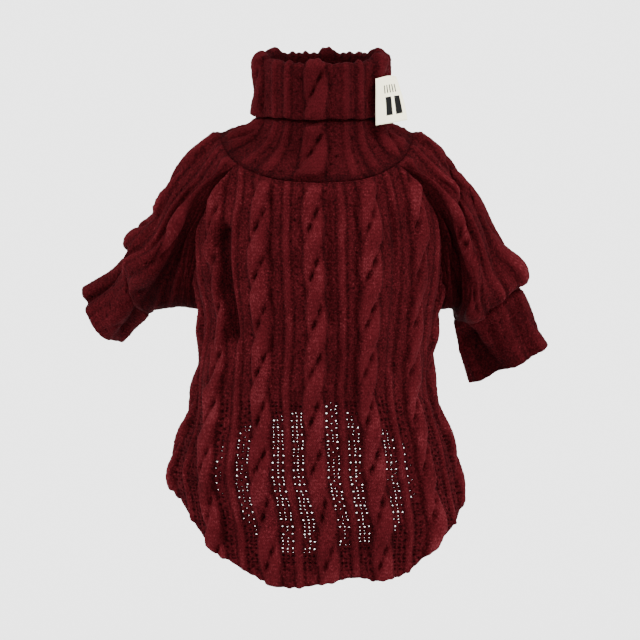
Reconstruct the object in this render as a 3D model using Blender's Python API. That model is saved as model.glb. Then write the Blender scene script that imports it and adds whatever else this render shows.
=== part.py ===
"""Dog sweater: a small cable-knit turtleneck with short raglan sleeves, in its worn, filled-out shape.

Units are metres at the end and millimetres in every table. +Z is up, towards the neck opening.
The long back panel faces -Y, the shorter belly panel faces +Y, and the wearer's left is -X.
The origin is the middle of the neck ring, where the wearer's neck holds the sweater.

Angles run in degrees round the body from the middle of the back: 90 is the right side and 180
the middle of the belly. A knitted wall is a plain inside with ropes and ribs raised outside.
"""
import bmesh
import bpy
import numpy as np

MM = 0.001
COLLECTION = "dog_sweater"

WALL = 2.0
SEAM_GAP = 0.26
ARMHOLE_GAP = 0.36
LAYER_GAP = 1.0

# Knit pattern: a two-strand rope, an open strip, a narrow rib and an open strip make one repeat.
REPEAT = 32.6
CROSSING = 29.1
ROWS_PER_CROSSING = 4
FIRST_CROSSING = -34.4
ROPE_HALF = 7.9
STRAND_HALF = 4.3
STRAND_SWAY = 3.6
STRAND_RISE = 2.6
STRAND_LIFT = 1.3
ROPE_BASE = 0.6
RIB_HALF = 3.6
RIB_RISE = 1.4
ROPE_COLUMNS = (-7.9, -4.0, 0.0, 4.0, 7.9)
RIB_COLUMNS = (12.4, 16.3, 20.2)
SEAM_TAPER = 6.0
RAGLAN_TAPER = 8.0
FOLD_TAPER = 16.0
PATTERN_DRIFT = -4.2
PATTERN_LEAN = -0.029

# On the shoulders, between these angles and heights, the cloth turns to face upwards.
SHOULDER_BACK = (46.0, 74.0)
SHOULDER_BELLY = (130.0, 106.0)
SHOULDER_RISE = (-16.0, 8.0)
SHOULDER_TURN = 1.4
ANGLE_STEP = 0.4
HEIGHT_STEP = 0.6
ON_SEAM = 0.995
NECK_MARGIN = 0.05
ARMPIT_BLEND = 14.0

SIDE_SEAM = 104.0
BACK_HALF = 3.3 * REPEAT
BELLY_HALF = 2.64 * REPEAT
INNER_ROW_STEP = 2
ROW_MARGIN = 2.8
SIDE_MARGIN = 2.8
CORNER_MARGIN = 1.6
RING_SAMPLES = 41
SEAM_SAMPLES = 400
TOP_STEPS = 26
HEM_STEPS = 12


def table(names, rows):
    """A table with named columns, a row for each section."""
    return dict(zip(names.split(), np.array(rows, float).T))


TORSO = table("height half_width middle back_depth belly_depth", (
    (-262, 79.5, 5.0, 42.5, 42.0),
    (-250, 81.0, 4.5, 43.0, 42.5),
    (-235, 82.5, 4.0, 43.5, 43.0),
    (-220, 84.0, 4.0, 44.0, 43.5),
    (-205, 84.6, 1.6, 44.5, 44.0),
    (-190, 84.6, -0.8, 45.0, 44.5),
    (-174, 80.8, -0.6, 46.0, 45.0),
    (-155, 74.0, -1.0, 47.5, 46.5),
    (-136, 70.2, -1.5, 49.0, 48.0),
    (-116, 68.6, 0.4, 50.5, 50.0),
    (-96, 69.0, 1.4, 51.5, 52.0),
    (-70, 73.5, 1.4, 52.0, 53.0),
    (-43, 74.5, 1.6, 51.0, 52.0),
    (-25, 70.5, 2.0, 49.5, 50.0),
    (-12, 67.5, 1.6, 47.0, 48.0),
    (0, 64.5, 0.8, 45.5, 46.0),
    (6, 61.5, 0.6, 44.0, 45.0),
    (13, 58.4, 0.5, 42.0, 43.0),
    (18, 55.4, 0.5, 40.0, 41.0),
))

NECK = table("angle height", (
    (0, -12.0), (24, -10.0), (48, -2.0), (70, 9.0), (90, 15.4),
    (110, 13.0), (128, 4.0), (150, 0.5), (180, -1.0),
))
BACK_CORNER = 48.0
BELLY_CORNER = 128.0

# The raglan seams: where each panel ends at a height, and how far its edge is mitred.
RAGLAN = table("height back belly mitre", (
    (-94, 104.0, 104.0, 1.0),
    (-78, 94.0, 113.0, 1.0),
    (-60, 86.0, 117.0, 1.0),
    (-42, 80.0, 119.0, 0.8),
    (-31, 75.0, 120.0, 0.6),
    (-20, 67.5, 121.5, 0.3),
    (-10, 59.0, 123.5, 0.15),
    (-2, 48.0, 126.0, 0.0),
    (4, 38.0, 128.0, 0.0),
    (10, 26.0, 130.0, 0.0),
))
ARMPIT = -94.0

HEM = table("angle height", (
    (0, -258.0), (12, -257.5), (22, -255.5), (31, -251.0), (37, -247.0), (45, -239.0), (51, -233.0),
    (57, -226.0), (66, -216.5), (76, -209.0), (84, -204.5), (92, -200.5), (104, -194.0), (125, -187.0),
    (137, -178.0), (145, -168.0), (164, -158.0), (172, -152.0), (180, -149.5),
))
HEM_TILT = -3.0

# How much the hem is raised here and lowered there; angles are signed in this table.
HEM_SHIFT = table("angle rise", (
    (-180, -2.0), (-173, -5.0), (-164, -2.5), (-150, -2.0), (-140, 0.0), (-104, 0.0), (-80, -2.0),
    (-64, -6.0), (-54, -5.4), (-46, -2.4), (-38, 0.0), (-20, 0.0), (-12, 0.8), (-5, 3.0), (3, 5.6),
    (10, 8.0), (16, 7.8), (22, 4.6), (28, 3.2), (34, 1.0), (42, 0.0), (50, 0.6), (56, 0.0), (65, -3.0),
    (84, -3.0), (94, 0.0), (104, 0.0), (172, 0.0), (180, -2.0),
))
FACING = table("angle width", (
    (0, 18.5), (14, 19.0), (24, 21.5), (32, 26.0), (40, 33.0), (49, 38.0), (63, 36.0), (75, 30.0),
    (90, 26.0), (104, 24.0),
))
FACING_WALL = 1.6
FACING_GAP = 1.3
FACING_LIFT = 0.8
FACING_SIDE = 2.0
FACING_COLUMNS = 45
FACING_ROWS = 4

# Sleeve and cuff sections: ovals through a top and a lowest point. Spread sets how the places round
# the armhole spread over each oval.
SLEEVE_COLUMNS = "along top_out top_y top_z low_out low_y low_z near far spread"
SLEEVES = {
    "left": table(SLEEVE_COLUMNS, (
        (26, 83.5, 4.0, -13.0, 84.0, 22.0, -92.0, 21.0, 18.0, 1.35),
        (44, 92.5, 9.0, -34.5, 92.0, 25.0, -93.5, 22.0, 18.0, 1.3),
        (62, 106.0, 18.5, -47.5, 98.0, 30.0, -95.0, 18.0, 13.5, 1.25),
        (74, 108.5, 25.0, -55.0, 99.0, 36.0, -95.0, 14.5, 14.5, 1.2),
    )),
    "right": table(SLEEVE_COLUMNS, (
        (26, 81.0, 3.0, -8.0, 81.0, 18.0, -93.0, 22.0, 18.0, 1.35),
        (46, 96.5, 8.0, -30.5, 82.5, 22.0, -95.0, 24.0, 18.0, 1.3),
        (62, 109.5, 14.0, -56.0, 83.5, 26.0, -97.0, 21.0, 16.0, 1.25),
        (74, 121.5, 20.0, -72.0, 83.0, 29.0, -98.5, 17.0, 14.0, 1.2),
        (80, 121.5, 24.0, -79.5, 82.0, 32.0, -99.5, 12.5, 12.5, 1.2),
    )),
}
CUFFS = {
    "left": table(SLEEVE_COLUMNS, (
        (0, 108.5, 25.0, -55.0, 99.0, 36.0, -95.0, 14.5, 14.5, 1.2),
        (19, 120.0, 38.0, -72.5, 107.5, 48.0, -105.0, 15.0, 15.0, 1.2),
        (38, 139.0, 51.0, -85.0, 116.0, 60.0, -113.0, 15.5, 15.5, 1.2),
    )),
    "right": table(SLEEVE_COLUMNS, (
        (0, 121.5, 24.0, -79.5, 82.0, 32.0, -99.5, 12.5, 12.5, 1.2),
        (20, 128.5, 30.0, -98.0, 86.0, 38.0, -118.5, 11.5, 11.5, 1.2),
        (41, 137.5, 37.0, -117.0, 91.5, 45.0, -138.5, 11.5, 11.5, 1.2),
    )),
}
SIDES = {"left": -1.0, "right": 1.0}

# Large folds: a soft ridge (plus) or trough (minus) along a line from start to end. Across is the
# place across the knit pattern, or the distance round from a sleeve's top line, plus on the back side.
FOLD_COLUMNS = "across_start along_start across_end along_end width height"
SLEEVE_FOLDS = {
    "left": table(FOLD_COLUMNS, (
        (4, 40, 13, 74, 5.0, 2.6),
        (24, 22, 17, 66, 6.0, 1.8),
        (36, 26, 32, 62, 9.0, -3.2),
        (60, 34, 52, 70, 8.0, 1.6),
        (-3, 60, 3, 70, 7.0, 2.4),
        (-42, 22, -30, 66, 8.0, -2.6),
    )),
    "right": table(FOLD_COLUMNS, (
        (25, 16, 37, 76, 6.0, 3.4),
        (48, 20, 54, 70, 9.0, -3.6),
        (8, 62, -6, 72, 7.0, 2.4),
        (66, 30, 58, 74, 8.0, 1.2),
        (-36, 18, -30, 70, 8.0, -2.8),
        (-62, 30, -50, 70, 8.0, 2.2),
    )),
}
CUFF_FOLDS = {
    "left": table(FOLD_COLUMNS, (
        (8, 14, 11, 40, 3.6, -2.8),
        (-2, 16, -3, 40, 6.0, 2.2),
        (44, 4, 42, 32, 6.0, -2.8),
        (-26, 6, -22, 40, 7.0, -2.0),
    )),
    "right": table(FOLD_COLUMNS, (
        (26, 16, 27, 42, 5.0, 2.0),
        (36, 6, 38, 36, 5.5, -3.0),
        (47, 2, 46, 24, 5.0, 1.8),
        (-24, 4, -28, 42, 7.0, -2.0),
    )),
}
BODY_FOLDS = {
    "back": table(FOLD_COLUMNS, (
        (-96, -120, -74, -200, 11.0, -2.6),
        (-82, -112, -58, -172, 10.0, 1.8),
        (92, -122, 72, -196, 11.0, -2.4),
        (60, -40, 78, -108, 9.0, -1.8),
        (-62, -46, -78, -104, 9.0, -1.8),
        (-30, -214, 24, -226, 12.0, -1.6),
    )),
    "belly": table(FOLD_COLUMNS, (
        (-70, -88, -34, -134, 10.0, -2.4),
        (-58, -76, -20, -112, 10.0, 1.6),
        (68, -90, 30, -140, 11.0, -2.4),
        (14, -40, 40, -92, 10.0, -1.6),
    )),
}
SHOULDER_BLEND = 26.0

# How much a sleeve's knit is spread across its near half, along the sleeve.
NEAR_SPREAD = table("along spread", ((0, 1.0), (12, 1.15), (26, 1.36), (40, 1.46), (80, 1.46)))
NECK_COLUMNS = 7
RAGLAN_COLUMNS = 17
SLEEVE_ROWS = 13
SLEEVE_INNER_ROWS = 7
CUFF_ROWS = 6
CUFF_INNER_ROWS = 3

COLLAR_MIDDLE = 3.8
COLLAR_HALF_WIDTH = 40.0
COLLAR_HALF_DEPTH = 38.5
COLLAR_WALL = 2.5
COLLAR_TOP = 60.0
COLLAR_SIDE_RISE = 1.5
COLLAR_FRONT_DIP = 1.6
COLLAR_EDGE = 24.5
COLLAR_LAYER_EDGE = 25.1
CROWN_START = 3.0
POCKET_START = 3.4
POCKET_RISE = 0.6
CROWN_SPREAD = 0.4
STAND_TOP = 4.0
FOOT_WALL = 2.0
COLLAR_ROPES = 6
COLLAR_ROPE_START = -5.0
COLLAR_ROPE_RISE = 0.95
COLLAR_COLUMNS = (-10.8, -5.4, 0.0, 5.4, 10.8, 17.0, 23.5, 30.0, 36.5, 43.0)
COLLAR_RIBS = (23.5, 36.5)
COLLAR_RIB_HALF = 5.5
COLLAR_LAYER_CROSSING = 46.0
COLLAR_STAND_CROSSING = 9.0
FLARE_ROWS = 6
LAYER_ROWS = 6

LABEL_WIDTH = 20.0
LABEL_HEIGHT = 28.0
LABEL_THICKNESS = 1.2
LABEL_LEFT = (35.8, -29.9)
LABEL_TOP = 49.0
LABEL_TOP_TURN = 53.0
LABEL_LOW_TURN = 19.0
LABEL_DROOP = 2.9
LABEL_COLUMNS = 5
LABEL_ROWS = 7


def eased(keys, values, x):
    """Smooth curve through the rows of a table; the values may be whole rings of points."""
    keys = np.asarray(keys, float)
    values = np.asarray(values, float)
    x = np.clip(np.asarray(x, float), keys[0], keys[-1])
    slopes = np.gradient(values, keys, axis=0)
    i = np.clip(np.searchsorted(keys, x, side="right") - 1, 0, len(keys) - 2)
    tail = (1,) * (values.ndim - 1)
    span = (keys[i + 1] - keys[i]).reshape(x.shape + tail)
    t = (x - keys[i]).reshape(x.shape + tail) / span
    return ((2 * t ** 3 - 3 * t ** 2 + 1) * values[i] + (t ** 3 - 2 * t ** 2 + t) * span * slopes[i]
            + (3 * t ** 2 - 2 * t ** 3) * values[i + 1] + (t ** 3 - t ** 2) * span * slopes[i + 1])


def read(source, key, column, x):
    return eased(source[key], source[column], x)


def smooth(low, high, x):
    """0 at low, 1 at high, with soft ends."""
    t = np.clip((np.asarray(x, float) - low) / (high - low), 0.0, 1.0)
    return t * t * (3.0 - 2.0 * t)


def unit(vectors):
    return vectors / np.linalg.norm(vectors, axis=-1, keepdims=True)


def rope_height(across, down):
    """Rise of a rope at a distance across its middle line; the upper strand runs from right to left."""
    height = np.zeros(np.broadcast(across, down).shape)
    for turn in (0.0, np.pi):
        phase = np.pi * down / CROSSING + turn
        middle = STRAND_SWAY * np.sin(0.5 * np.pi * np.cos(phase))
        off = np.clip(np.abs(across - middle) / STRAND_HALF, 0.0, 1.0)
        rise = ROPE_BASE + STRAND_LIFT * np.sin(phase) + STRAND_RISE * np.sqrt(1.0 - off ** 2)
        height = np.maximum(height, np.where(off < 1.0, rise, 0.0))
    return height * smooth(ROPE_HALF, ROPE_HALF - 2.0, np.abs(across))


def rib_height(across, half=RIB_HALF):
    return RIB_RISE * smooth(half, 0.0, np.abs(across))


def knit_height(across, down):
    """Rise of the knit pattern: ropes at each repeat and a rib half way between them."""
    near_rope = (across + 0.5 * REPEAT) % REPEAT - 0.5 * REPEAT
    near_rib = across % REPEAT - 0.5 * REPEAT
    return np.maximum(rope_height(near_rope, down), rib_height(near_rib))


def fold_height(folds, across, along):
    """Rise of the large folds at a place."""
    total = np.zeros(np.broadcast(across, along).shape)
    for row in range(len(folds["width"])):
        start_across, start_along = folds["across_start"][row], folds["along_start"][row]
        run_across = folds["across_end"][row] - start_across
        run_along = folds["along_end"][row] - start_along
        reach = (across - start_across) * run_across + (along - start_along) * run_along
        share = np.clip(reach / (run_across ** 2 + run_along ** 2), 0.0, 1.0)
        off_across = across - start_across - share * run_across
        off_along = along - start_along - share * run_along
        distance = np.hypot(off_across, off_along)
        total += folds["height"][row] * np.exp(-(distance / folds["width"][row]) ** 2)
    return total


def from_back(angle):
    """Angle from the middle of the back on either side, 0 to 180."""
    return 180.0 - np.abs(180.0 - np.abs(angle) % 360.0)


def torso_point(angle, height):
    """A point of the body's outer base surface."""
    turn = np.radians(angle)
    half_width = read(TORSO, "height", "half_width", height)
    depth = np.where(np.cos(turn) > 0.0, read(TORSO, "height", "back_depth", height),
                     read(TORSO, "height", "belly_depth", height))
    x = read(TORSO, "height", "middle", height) + half_width * np.sin(turn)
    return np.stack(np.broadcast_arrays(x, -depth * np.cos(turn), height), axis=-1)


def torso_normal(angle, height):
    """Direction out of the body, turned upwards on the shoulders beside the neck."""
    across = torso_point(angle + ANGLE_STEP, height) - torso_point(angle - ANGLE_STEP, height)
    down = torso_point(angle, height - HEIGHT_STEP) - torso_point(angle, height + HEIGHT_STEP)
    normal = unit(np.cross(down, across))
    place = from_back(angle)
    shoulder = smooth(*SHOULDER_BACK, place) * smooth(*SHOULDER_BELLY, place) * smooth(*SHOULDER_RISE, height)
    normal[..., 2] += SHOULDER_TURN * shoulder
    return unit(normal)


def neck_height(angle):
    return read(NECK, "angle", "height", from_back(angle))


def hem_height(angle):
    signed = (np.asarray(angle, float) + 180.0) % 360.0 - 180.0
    level = read(HEM, "angle", "height", from_back(angle)) + read(HEM_SHIFT, "angle", "rise", signed)
    return level + HEM_TILT * np.sin(np.radians(angle))


class Panel:
    """A body panel, spread both ways from its middle line to the side seams."""

    def __init__(self, middle, half_angle, half_pattern, raglan):
        self.middle = middle
        self.half_angle = half_angle
        self.half_pattern = half_pattern
        self.raglan = raglan
        self.seams = None

    def angle(self, across, height):
        """Angle round the body of a place across the pattern, evenly spread along each ring."""
        across, height = np.broadcast_arrays(np.asarray(across, float), np.asarray(height, float))
        drift = (PATTERN_DRIFT + PATTERN_LEAN * height) if self.middle == 0.0 else 0.0
        spread = across / self.half_pattern
        place = spread + drift / self.half_pattern * (1.0 - spread ** 2)
        turns = self.middle + self.half_angle * np.linspace(0.0, 1.0, RING_SAMPLES)
        ring = torso_point(turns, height[..., None])
        steps = np.linalg.norm(np.diff(ring, axis=-2), axis=-1)
        reach = np.concatenate([np.zeros(height.shape + (1,)), np.cumsum(steps, axis=-1)], axis=-1)
        reach = reach / reach[..., -1:]
        target = np.abs(place)[..., None]
        index = np.clip((reach < target).sum(axis=-1), 1, reach.shape[-1] - 1)[..., None]
        low = np.take_along_axis(reach, index - 1, axis=-1)
        high = np.take_along_axis(reach, index, axis=-1)
        part = (index - 1 + (target - low) / (high - low))[..., 0] / (reach.shape[-1] - 1)
        return self.middle + np.sign(place) * part * self.half_angle

    def raglan_reach(self, height):
        """Angle from the middle line to the raglan seam."""
        return np.abs(read(RAGLAN, "height", self.raglan, height) - np.abs(self.middle))

    def top(self, across):
        """Height where each column meets the neck seam or a raglan seam."""
        low = np.full(np.shape(across), ARMPIT - 1.0)
        high = np.full(np.shape(across), TORSO["height"][-1] - 1.0)
        for _ in range(TOP_STEPS):
            tried = 0.5 * (low + high)
            angle = self.angle(across, tried)
            inside = tried < neck_height(angle)
            open_above = tried > ARMPIT
            inside &= ~open_above | (np.abs(angle - self.middle) < self.raglan_reach(tried))
            low = np.where(inside, tried, low)
            high = np.where(inside, high, tried)
        return low

    def bottom(self, across):
        height = np.full(np.shape(across), HEM["height"].mean())
        for _ in range(HEM_STEPS):
            height = hem_height(self.angle(across, height))
        return height

    def corner(self, angle):
        """Place across the pattern of the corner between neck and raglan seams."""
        places = np.linspace(0.0, self.half_pattern, SEAM_SAMPLES)
        height = neck_height(np.array(angle))
        turn = abs(angle - self.middle)
        right = np.interp(turn, self.angle(places, height) - self.middle, places)
        left = np.interp(turn, self.middle - self.angle(-places, height), places)
        return -left, right


BACK = Panel(0.0, SIDE_SEAM, BACK_HALF, "back")
BELLY = Panel(180.0, 180.0 - SIDE_SEAM, BELLY_HALF, "belly")


def raglan_line(side, panel, corner_angle):
    """Points close together along one raglan seam."""
    heights = np.linspace(float(neck_height(np.array(corner_angle))), ARMPIT, SEAM_SAMPLES)
    return torso_point(side * read(RAGLAN, "height", panel.raglan, heights), heights)


BACK.seams = np.concatenate([raglan_line(side, BACK, BACK_CORNER) for side in (-1.0, 1.0)])
BELLY.seams = np.concatenate([raglan_line(side, BELLY, BELLY_CORNER) for side in (-1.0, 1.0)])


def panel_fold(panel, across, height, top):
    """Rise of a body panel's large folds, fading out at its seams."""
    rise = fold_height(BODY_FOLDS[panel.raglan], across, height)
    to_side = panel.half_pattern - np.abs(across)
    return rise * smooth(0.0, FOLD_TAPER, top - height) * smooth(0.0, FOLD_TAPER, to_side)


def seam_frame(panel, angle, height):
    """Direction across the seam at a panel's top edge, away from the panel, and the edge's mitre."""
    turn = angle - panel.middle
    on_raglan = np.abs(turn) > ON_SEAM * panel.raglan_reach(height)
    on_raglan &= height < neck_height(angle) - NECK_MARGIN
    sign = np.where(turn < 0.0, -1.0, 1.0)
    step = HEIGHT_STEP
    reach_up = panel.middle + sign * panel.raglan_reach(height + step)
    reach_down = panel.middle + sign * panel.raglan_reach(height - step)
    tangent = torso_point(reach_up, height + step) - torso_point(reach_down, height - step)
    normal = torso_normal(angle, height)
    across = torso_point(angle + sign * ANGLE_STEP, height) - torso_point(angle, height)
    away = np.cross(tangent, normal)
    away = unit(away * np.sign((away * across).sum(axis=-1, keepdims=True)))
    upward = unit(torso_point(angle, height + step) - torso_point(angle, height - step))
    near_armpit = smooth(ARMPIT + ARMPIT_BLEND, ARMPIT + 1.0, height)[..., None]
    away = unit(away * (1.0 - near_armpit) + upward * near_armpit)
    mitre = np.where(on_raglan, read(RAGLAN, "height", "mitre", height), 0.0)[..., None]
    return np.where(on_raglan[..., None], away, upward), mitre


def seam_distance(points, seam):
    """Distance from each point to the nearest point of a seam."""
    flat = points.reshape(-1, 3)
    near = [np.linalg.norm(flat[k:k + 2000, None] - seam, axis=-1).min(axis=1)
            for k in range(0, len(flat), 2000)]
    return np.concatenate(near).reshape(points.shape[:-1])


def panel_wall(panel, across, height, top, bottom):
    """Outer and inner points of a panel down one column."""
    angle = panel.angle(across, height)
    normal = torso_normal(angle, height)
    base = torso_point(angle, height) + normal * panel_fold(panel, across, height, top)[..., None]
    fade = smooth(0.0, SEAM_TAPER, top - height)
    fade = fade * smooth(0.0, SEAM_TAPER, panel.half_pattern - np.abs(across))
    fade = fade * smooth(0.0, RAGLAN_TAPER, seam_distance(base, panel.seams))
    rise = knit_height(across, FIRST_CROSSING - height) * fade
    outer = base + normal * rise[..., None]
    inner = base - normal * WALL
    away, mitre = seam_frame(panel, angle[:1], height[:1])
    outer[0] -= SEAM_GAP * away[0]
    inner[0] += (WALL * mitre[0] - SEAM_GAP) * away[0]
    return outer, inner


def pattern_columns(half, extra=()):
    """Places across a panel: on each rope and rib, at its corners and at its side seams."""
    count = int(half / REPEAT) + 1
    places = [k * REPEAT + c for k in range(-count, count + 1) for c in ROPE_COLUMNS + RIB_COLUMNS]
    edge = half - SEAM_GAP
    places = [p for p in places if abs(p) < half - SIDE_MARGIN]
    places = [p for p in places if all(abs(p - e) > CORNER_MARGIN for e in extra)]
    return np.array(sorted(places + list(extra) + [-edge, edge]))


def row_heights(top, bottom, step=1):
    """Rows of knitting between two heights, in step with the rope crossings."""
    pitch = CROSSING / ROWS_PER_CROSSING * step
    first = int(np.ceil((FIRST_CROSSING - top + ROW_MARGIN) / pitch))
    last = int(np.floor((FIRST_CROSSING - bottom - ROW_MARGIN) / pitch))
    rows = [FIRST_CROSSING - pitch * k for k in range(first, last + 1)]
    return np.array([top] + rows + [bottom])


class Mesh:
    """Vertices and faces of one solid, made column by column."""

    def __init__(self):
        self.points = []
        self.faces = []

    def add(self, points):
        start = len(self.points)
        self.points.extend(map(tuple, points))
        return list(range(start, len(self.points)))

    def zip(self, left, left_keys, right, right_keys):
        """Faces between two columns of points, both running down by their keys."""
        i = j = 0
        while i < len(left) - 1 or j < len(right) - 1:
            more_left = i < len(left) - 1
            more_right = j < len(right) - 1
            level = more_left and more_right and abs(left_keys[i + 1] - right_keys[j + 1]) < 1e-6
            last = more_left and more_right and i == len(left) - 2 and j == len(right) - 2
            if level or last:
                self.faces.append((left[i], left[i + 1], right[j + 1], right[j]))
                i += 1
                j += 1
            elif not more_right or (more_left and left_keys[i + 1] > right_keys[j + 1]):
                self.faces.append((left[i], left[i + 1], right[j]))
                i += 1
            else:
                self.faces.append((left[i], right[j + 1], right[j]))
                j += 1

    def ring(self, first, second):
        """Faces between two closed rings with the same number of points."""
        count = len(first)
        for k in range(count):
            n = (k + 1) % count
            self.faces.append((first[k], first[n], second[n], second[k]))

    def build(self, name, colour, roughness):
        data = bpy.data.meshes.new(name)
        data.from_pydata([tuple(c * MM for c in p) for p in self.points], [], self.faces)
        shell = bmesh.new()
        shell.from_mesh(data)
        bmesh.ops.recalc_face_normals(shell, faces=shell.faces)
        shell.to_mesh(data)
        shell.free()
        data.shade_smooth()
        data.materials.append(cloth_material(name + "_cloth", colour, roughness))
        made = bpy.data.objects.new(name, data)
        bpy.data.collections[COLLECTION].objects.link(made)
        return made


def cloth_material(name, colour, roughness):
    material = bpy.data.materials.new(name)
    material.use_nodes = True
    shader = material.node_tree.nodes["Principled BSDF"]
    shader.inputs["Base Color"].default_value = (*colour, 1.0)
    shader.inputs["Roughness"].default_value = roughness
    shader.inputs["Metallic"].default_value = 0.0
    return material


BURGUNDY = (0.115, 0.010, 0.018)
DEEP_BURGUNDY = (0.095, 0.008, 0.014)
OFF_WHITE = (0.86, 0.83, 0.72)
KNIT_ROUGHNESS = 0.92
TAPE_ROUGHNESS = 0.8


def sheet_solid(columns):
    """A closed wall from (outer, outer keys, inner, inner keys) for each column, side by side."""
    mesh = Mesh()
    outer = [(mesh.add(c[0]), c[1]) for c in columns]
    inner = [(mesh.add(c[2]), c[3]) for c in columns]
    for k in range(len(columns) - 1):
        mesh.zip(*outer[k], *outer[k + 1])
        mesh.zip(*inner[k + 1], *inner[k])
        for end in (0, -1):
            rim = (outer[k][0][end], outer[k + 1][0][end], inner[k + 1][0][end], inner[k][0][end])
            mesh.faces.append(rim)
    mesh.zip(*outer[0], *inner[0])
    mesh.zip(*inner[-1], *outer[-1])
    return mesh


def panel_solid(name, panel, corner_angle):
    """A knitted body panel."""
    columns = []
    places = pattern_columns(panel.half_pattern, panel.corner(corner_angle))
    for across, top, bottom in zip(places, panel.top(places), panel.bottom(places)):
        rows = row_heights(top, bottom)
        outer, _ = panel_wall(panel, np.full(len(rows), across), rows, top, bottom)
        coarse = row_heights(top, bottom, INNER_ROW_STEP)
        _, inner = panel_wall(panel, np.full(len(coarse), across), coarse, top, bottom)
        columns.append((outer, rows, inner, coarse))
    return sheet_solid(columns).build(name, BURGUNDY, KNIT_ROUGHNESS)


def facing_solid():
    """The turned-up layer inside the back hem."""
    columns = []
    reach = BACK.half_pattern - FACING_SIDE
    places = np.linspace(-reach, reach, FACING_COLUMNS)
    for across, bottom in zip(places, BACK.bottom(places) + FACING_LIFT):
        width = read(FACING, "angle", "width", np.abs(BACK.angle(across, bottom)))
        rows = np.linspace(bottom + float(width), bottom, FACING_ROWS)
        angle = BACK.angle(across, rows)
        normal = torso_normal(angle, rows)
        sunk = panel_fold(BACK, across, rows, ARMPIT) - WALL - FACING_GAP
        outer = torso_point(angle, rows) + normal * sunk[..., None]
        inner = outer - normal * FACING_WALL
        columns.append((outer, rows, inner, rows))
    return sheet_solid(columns).build("hem_facing", DEEP_BURGUNDY, KNIT_ROUGHNESS)


def path_points(points, shares):
    """Points at given shares of a path's length."""
    steps = np.linalg.norm(np.diff(points, axis=0), axis=1)
    reach = np.concatenate([[0.0], np.cumsum(steps)])
    return np.stack([np.interp(shares * reach[-1], reach, points[:, k]) for k in range(3)], axis=1)


def armhole(side, panel, corner_angle):
    """Half of an armhole from the top of the shoulder to the armpit: angles and heights."""
    neck_turns = np.linspace(90.0, corner_angle, NECK_COLUMNS + 1)
    neck = np.stack([neck_turns, neck_height(neck_turns)], axis=1)
    corner = neck[-1, 1]
    fine = np.linspace(corner, ARMPIT, SEAM_SAMPLES)
    turns = read(RAGLAN, "height", panel.raglan, fine)
    path = torso_point(turns, fine)
    steps = np.linalg.norm(np.diff(path, axis=0), axis=1)
    reach = np.concatenate([[0.0], np.cumsum(steps)])
    even = np.linspace(0.0, reach[-1], RAGLAN_COLUMNS + 1)[1:]
    seam = np.stack([np.interp(even, reach, turns), np.interp(even, reach, fine)], axis=1)
    half = np.concatenate([neck, seam])
    half[:, 0] *= side
    return half


def armhole_ring(side):
    """The whole armhole: outer points, inner points, normals and shares of each half's length."""
    near = armhole(side, BACK, BACK_CORNER)
    far = armhole(side, BELLY, BELLY_CORNER)
    loop = np.concatenate([near, far[-2:0:-1]])
    angle, height = loop[:, 0], loop[:, 1]
    points = torso_point(angle, height)
    normal = torso_normal(angle, height)
    after = unit(np.cross(normal, np.roll(points, -1, axis=0) - points))
    before = unit(np.cross(normal, points - np.roll(points, 1, axis=0)))
    into = (after + before) / (1.0 + (after * before).sum(axis=1, keepdims=True))
    middle = points.mean(axis=0)
    into *= np.sign((into * (middle - points)).sum(axis=1, keepdims=True))
    mitre = read(RAGLAN, "height", "mitre", height)[:, None]
    outer = points + ARMHOLE_GAP * into
    inner = outer - WALL * normal + WALL * mitre * into
    shares = []
    for half in (near, far):
        path = torso_point(half[:, 0], half[:, 1])
        reach = np.concatenate([[0.0], np.cumsum(np.linalg.norm(np.diff(path, axis=0), axis=1))])
        shares.append(reach / reach[-1])
    return outer, inner, normal, shares


def oval(row, source, side, axis, shares):
    """One ring of a sleeve: an oval through its top and lowest points, near half first."""
    top = np.array([side * source["top_out"][row], source["top_y"][row], source["top_z"][row]])
    low = np.array([side * source["low_out"][row], source["low_y"][row], source["low_z"][row]])
    middle = 0.5 * (top + low)
    major = 0.5 * (top - low)
    minor = unit(np.cross(axis, major))
    minor = minor * np.where(minor[1] > 0.0, -1.0, 1.0)
    halves = []
    for share, depth, way in ((shares[0], source["near"][row], 1.0), (shares[1], source["far"][row], -1.0)):
        turn = np.linspace(0.0, np.pi, 73)[:, None]
        curve = middle + major * np.cos(turn) + way * depth * minor * np.sin(turn)
        halves.append(path_points(curve, share ** source["spread"][row]))
    return np.concatenate([halves[0], halves[1][-2:0:-1]])


def oval_axes(source, side):
    """Directions along a sleeve or cuff at each of its rings."""
    middle = np.stack([side * 0.5 * (source["top_out"] + source["low_out"]),
                       0.5 * (source["top_y"] + source["low_y"]),
                       0.5 * (source["top_z"] + source["low_z"])], axis=1)
    return unit(np.gradient(middle, axis=0))


def ring_normals(rings):
    """Outward directions over a tube given as rings of points."""
    around = np.roll(rings, -1, axis=1) - np.roll(rings, 1, axis=1)
    along = np.gradient(rings, axis=0)
    normal = unit(np.cross(along, around))
    outward = rings - rings.mean(axis=1, keepdims=True)
    return normal * np.sign((normal * outward).sum(axis=-1).mean())


def signed_reach(rings):
    """Distance round each ring from its top line, plus on the near half and minus on the far half."""
    steps = np.linalg.norm(np.roll(rings, -1, axis=1) - rings, axis=-1)
    reach = np.concatenate([np.zeros((len(rings), 1)), np.cumsum(steps, axis=1)[:, :-1]], axis=1)
    whole = steps.sum(axis=1)[:, None]
    half = NECK_COLUMNS + RAGLAN_COLUMNS
    return np.where(np.arange(rings.shape[1]) <= half, reach, reach - whole)


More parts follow.
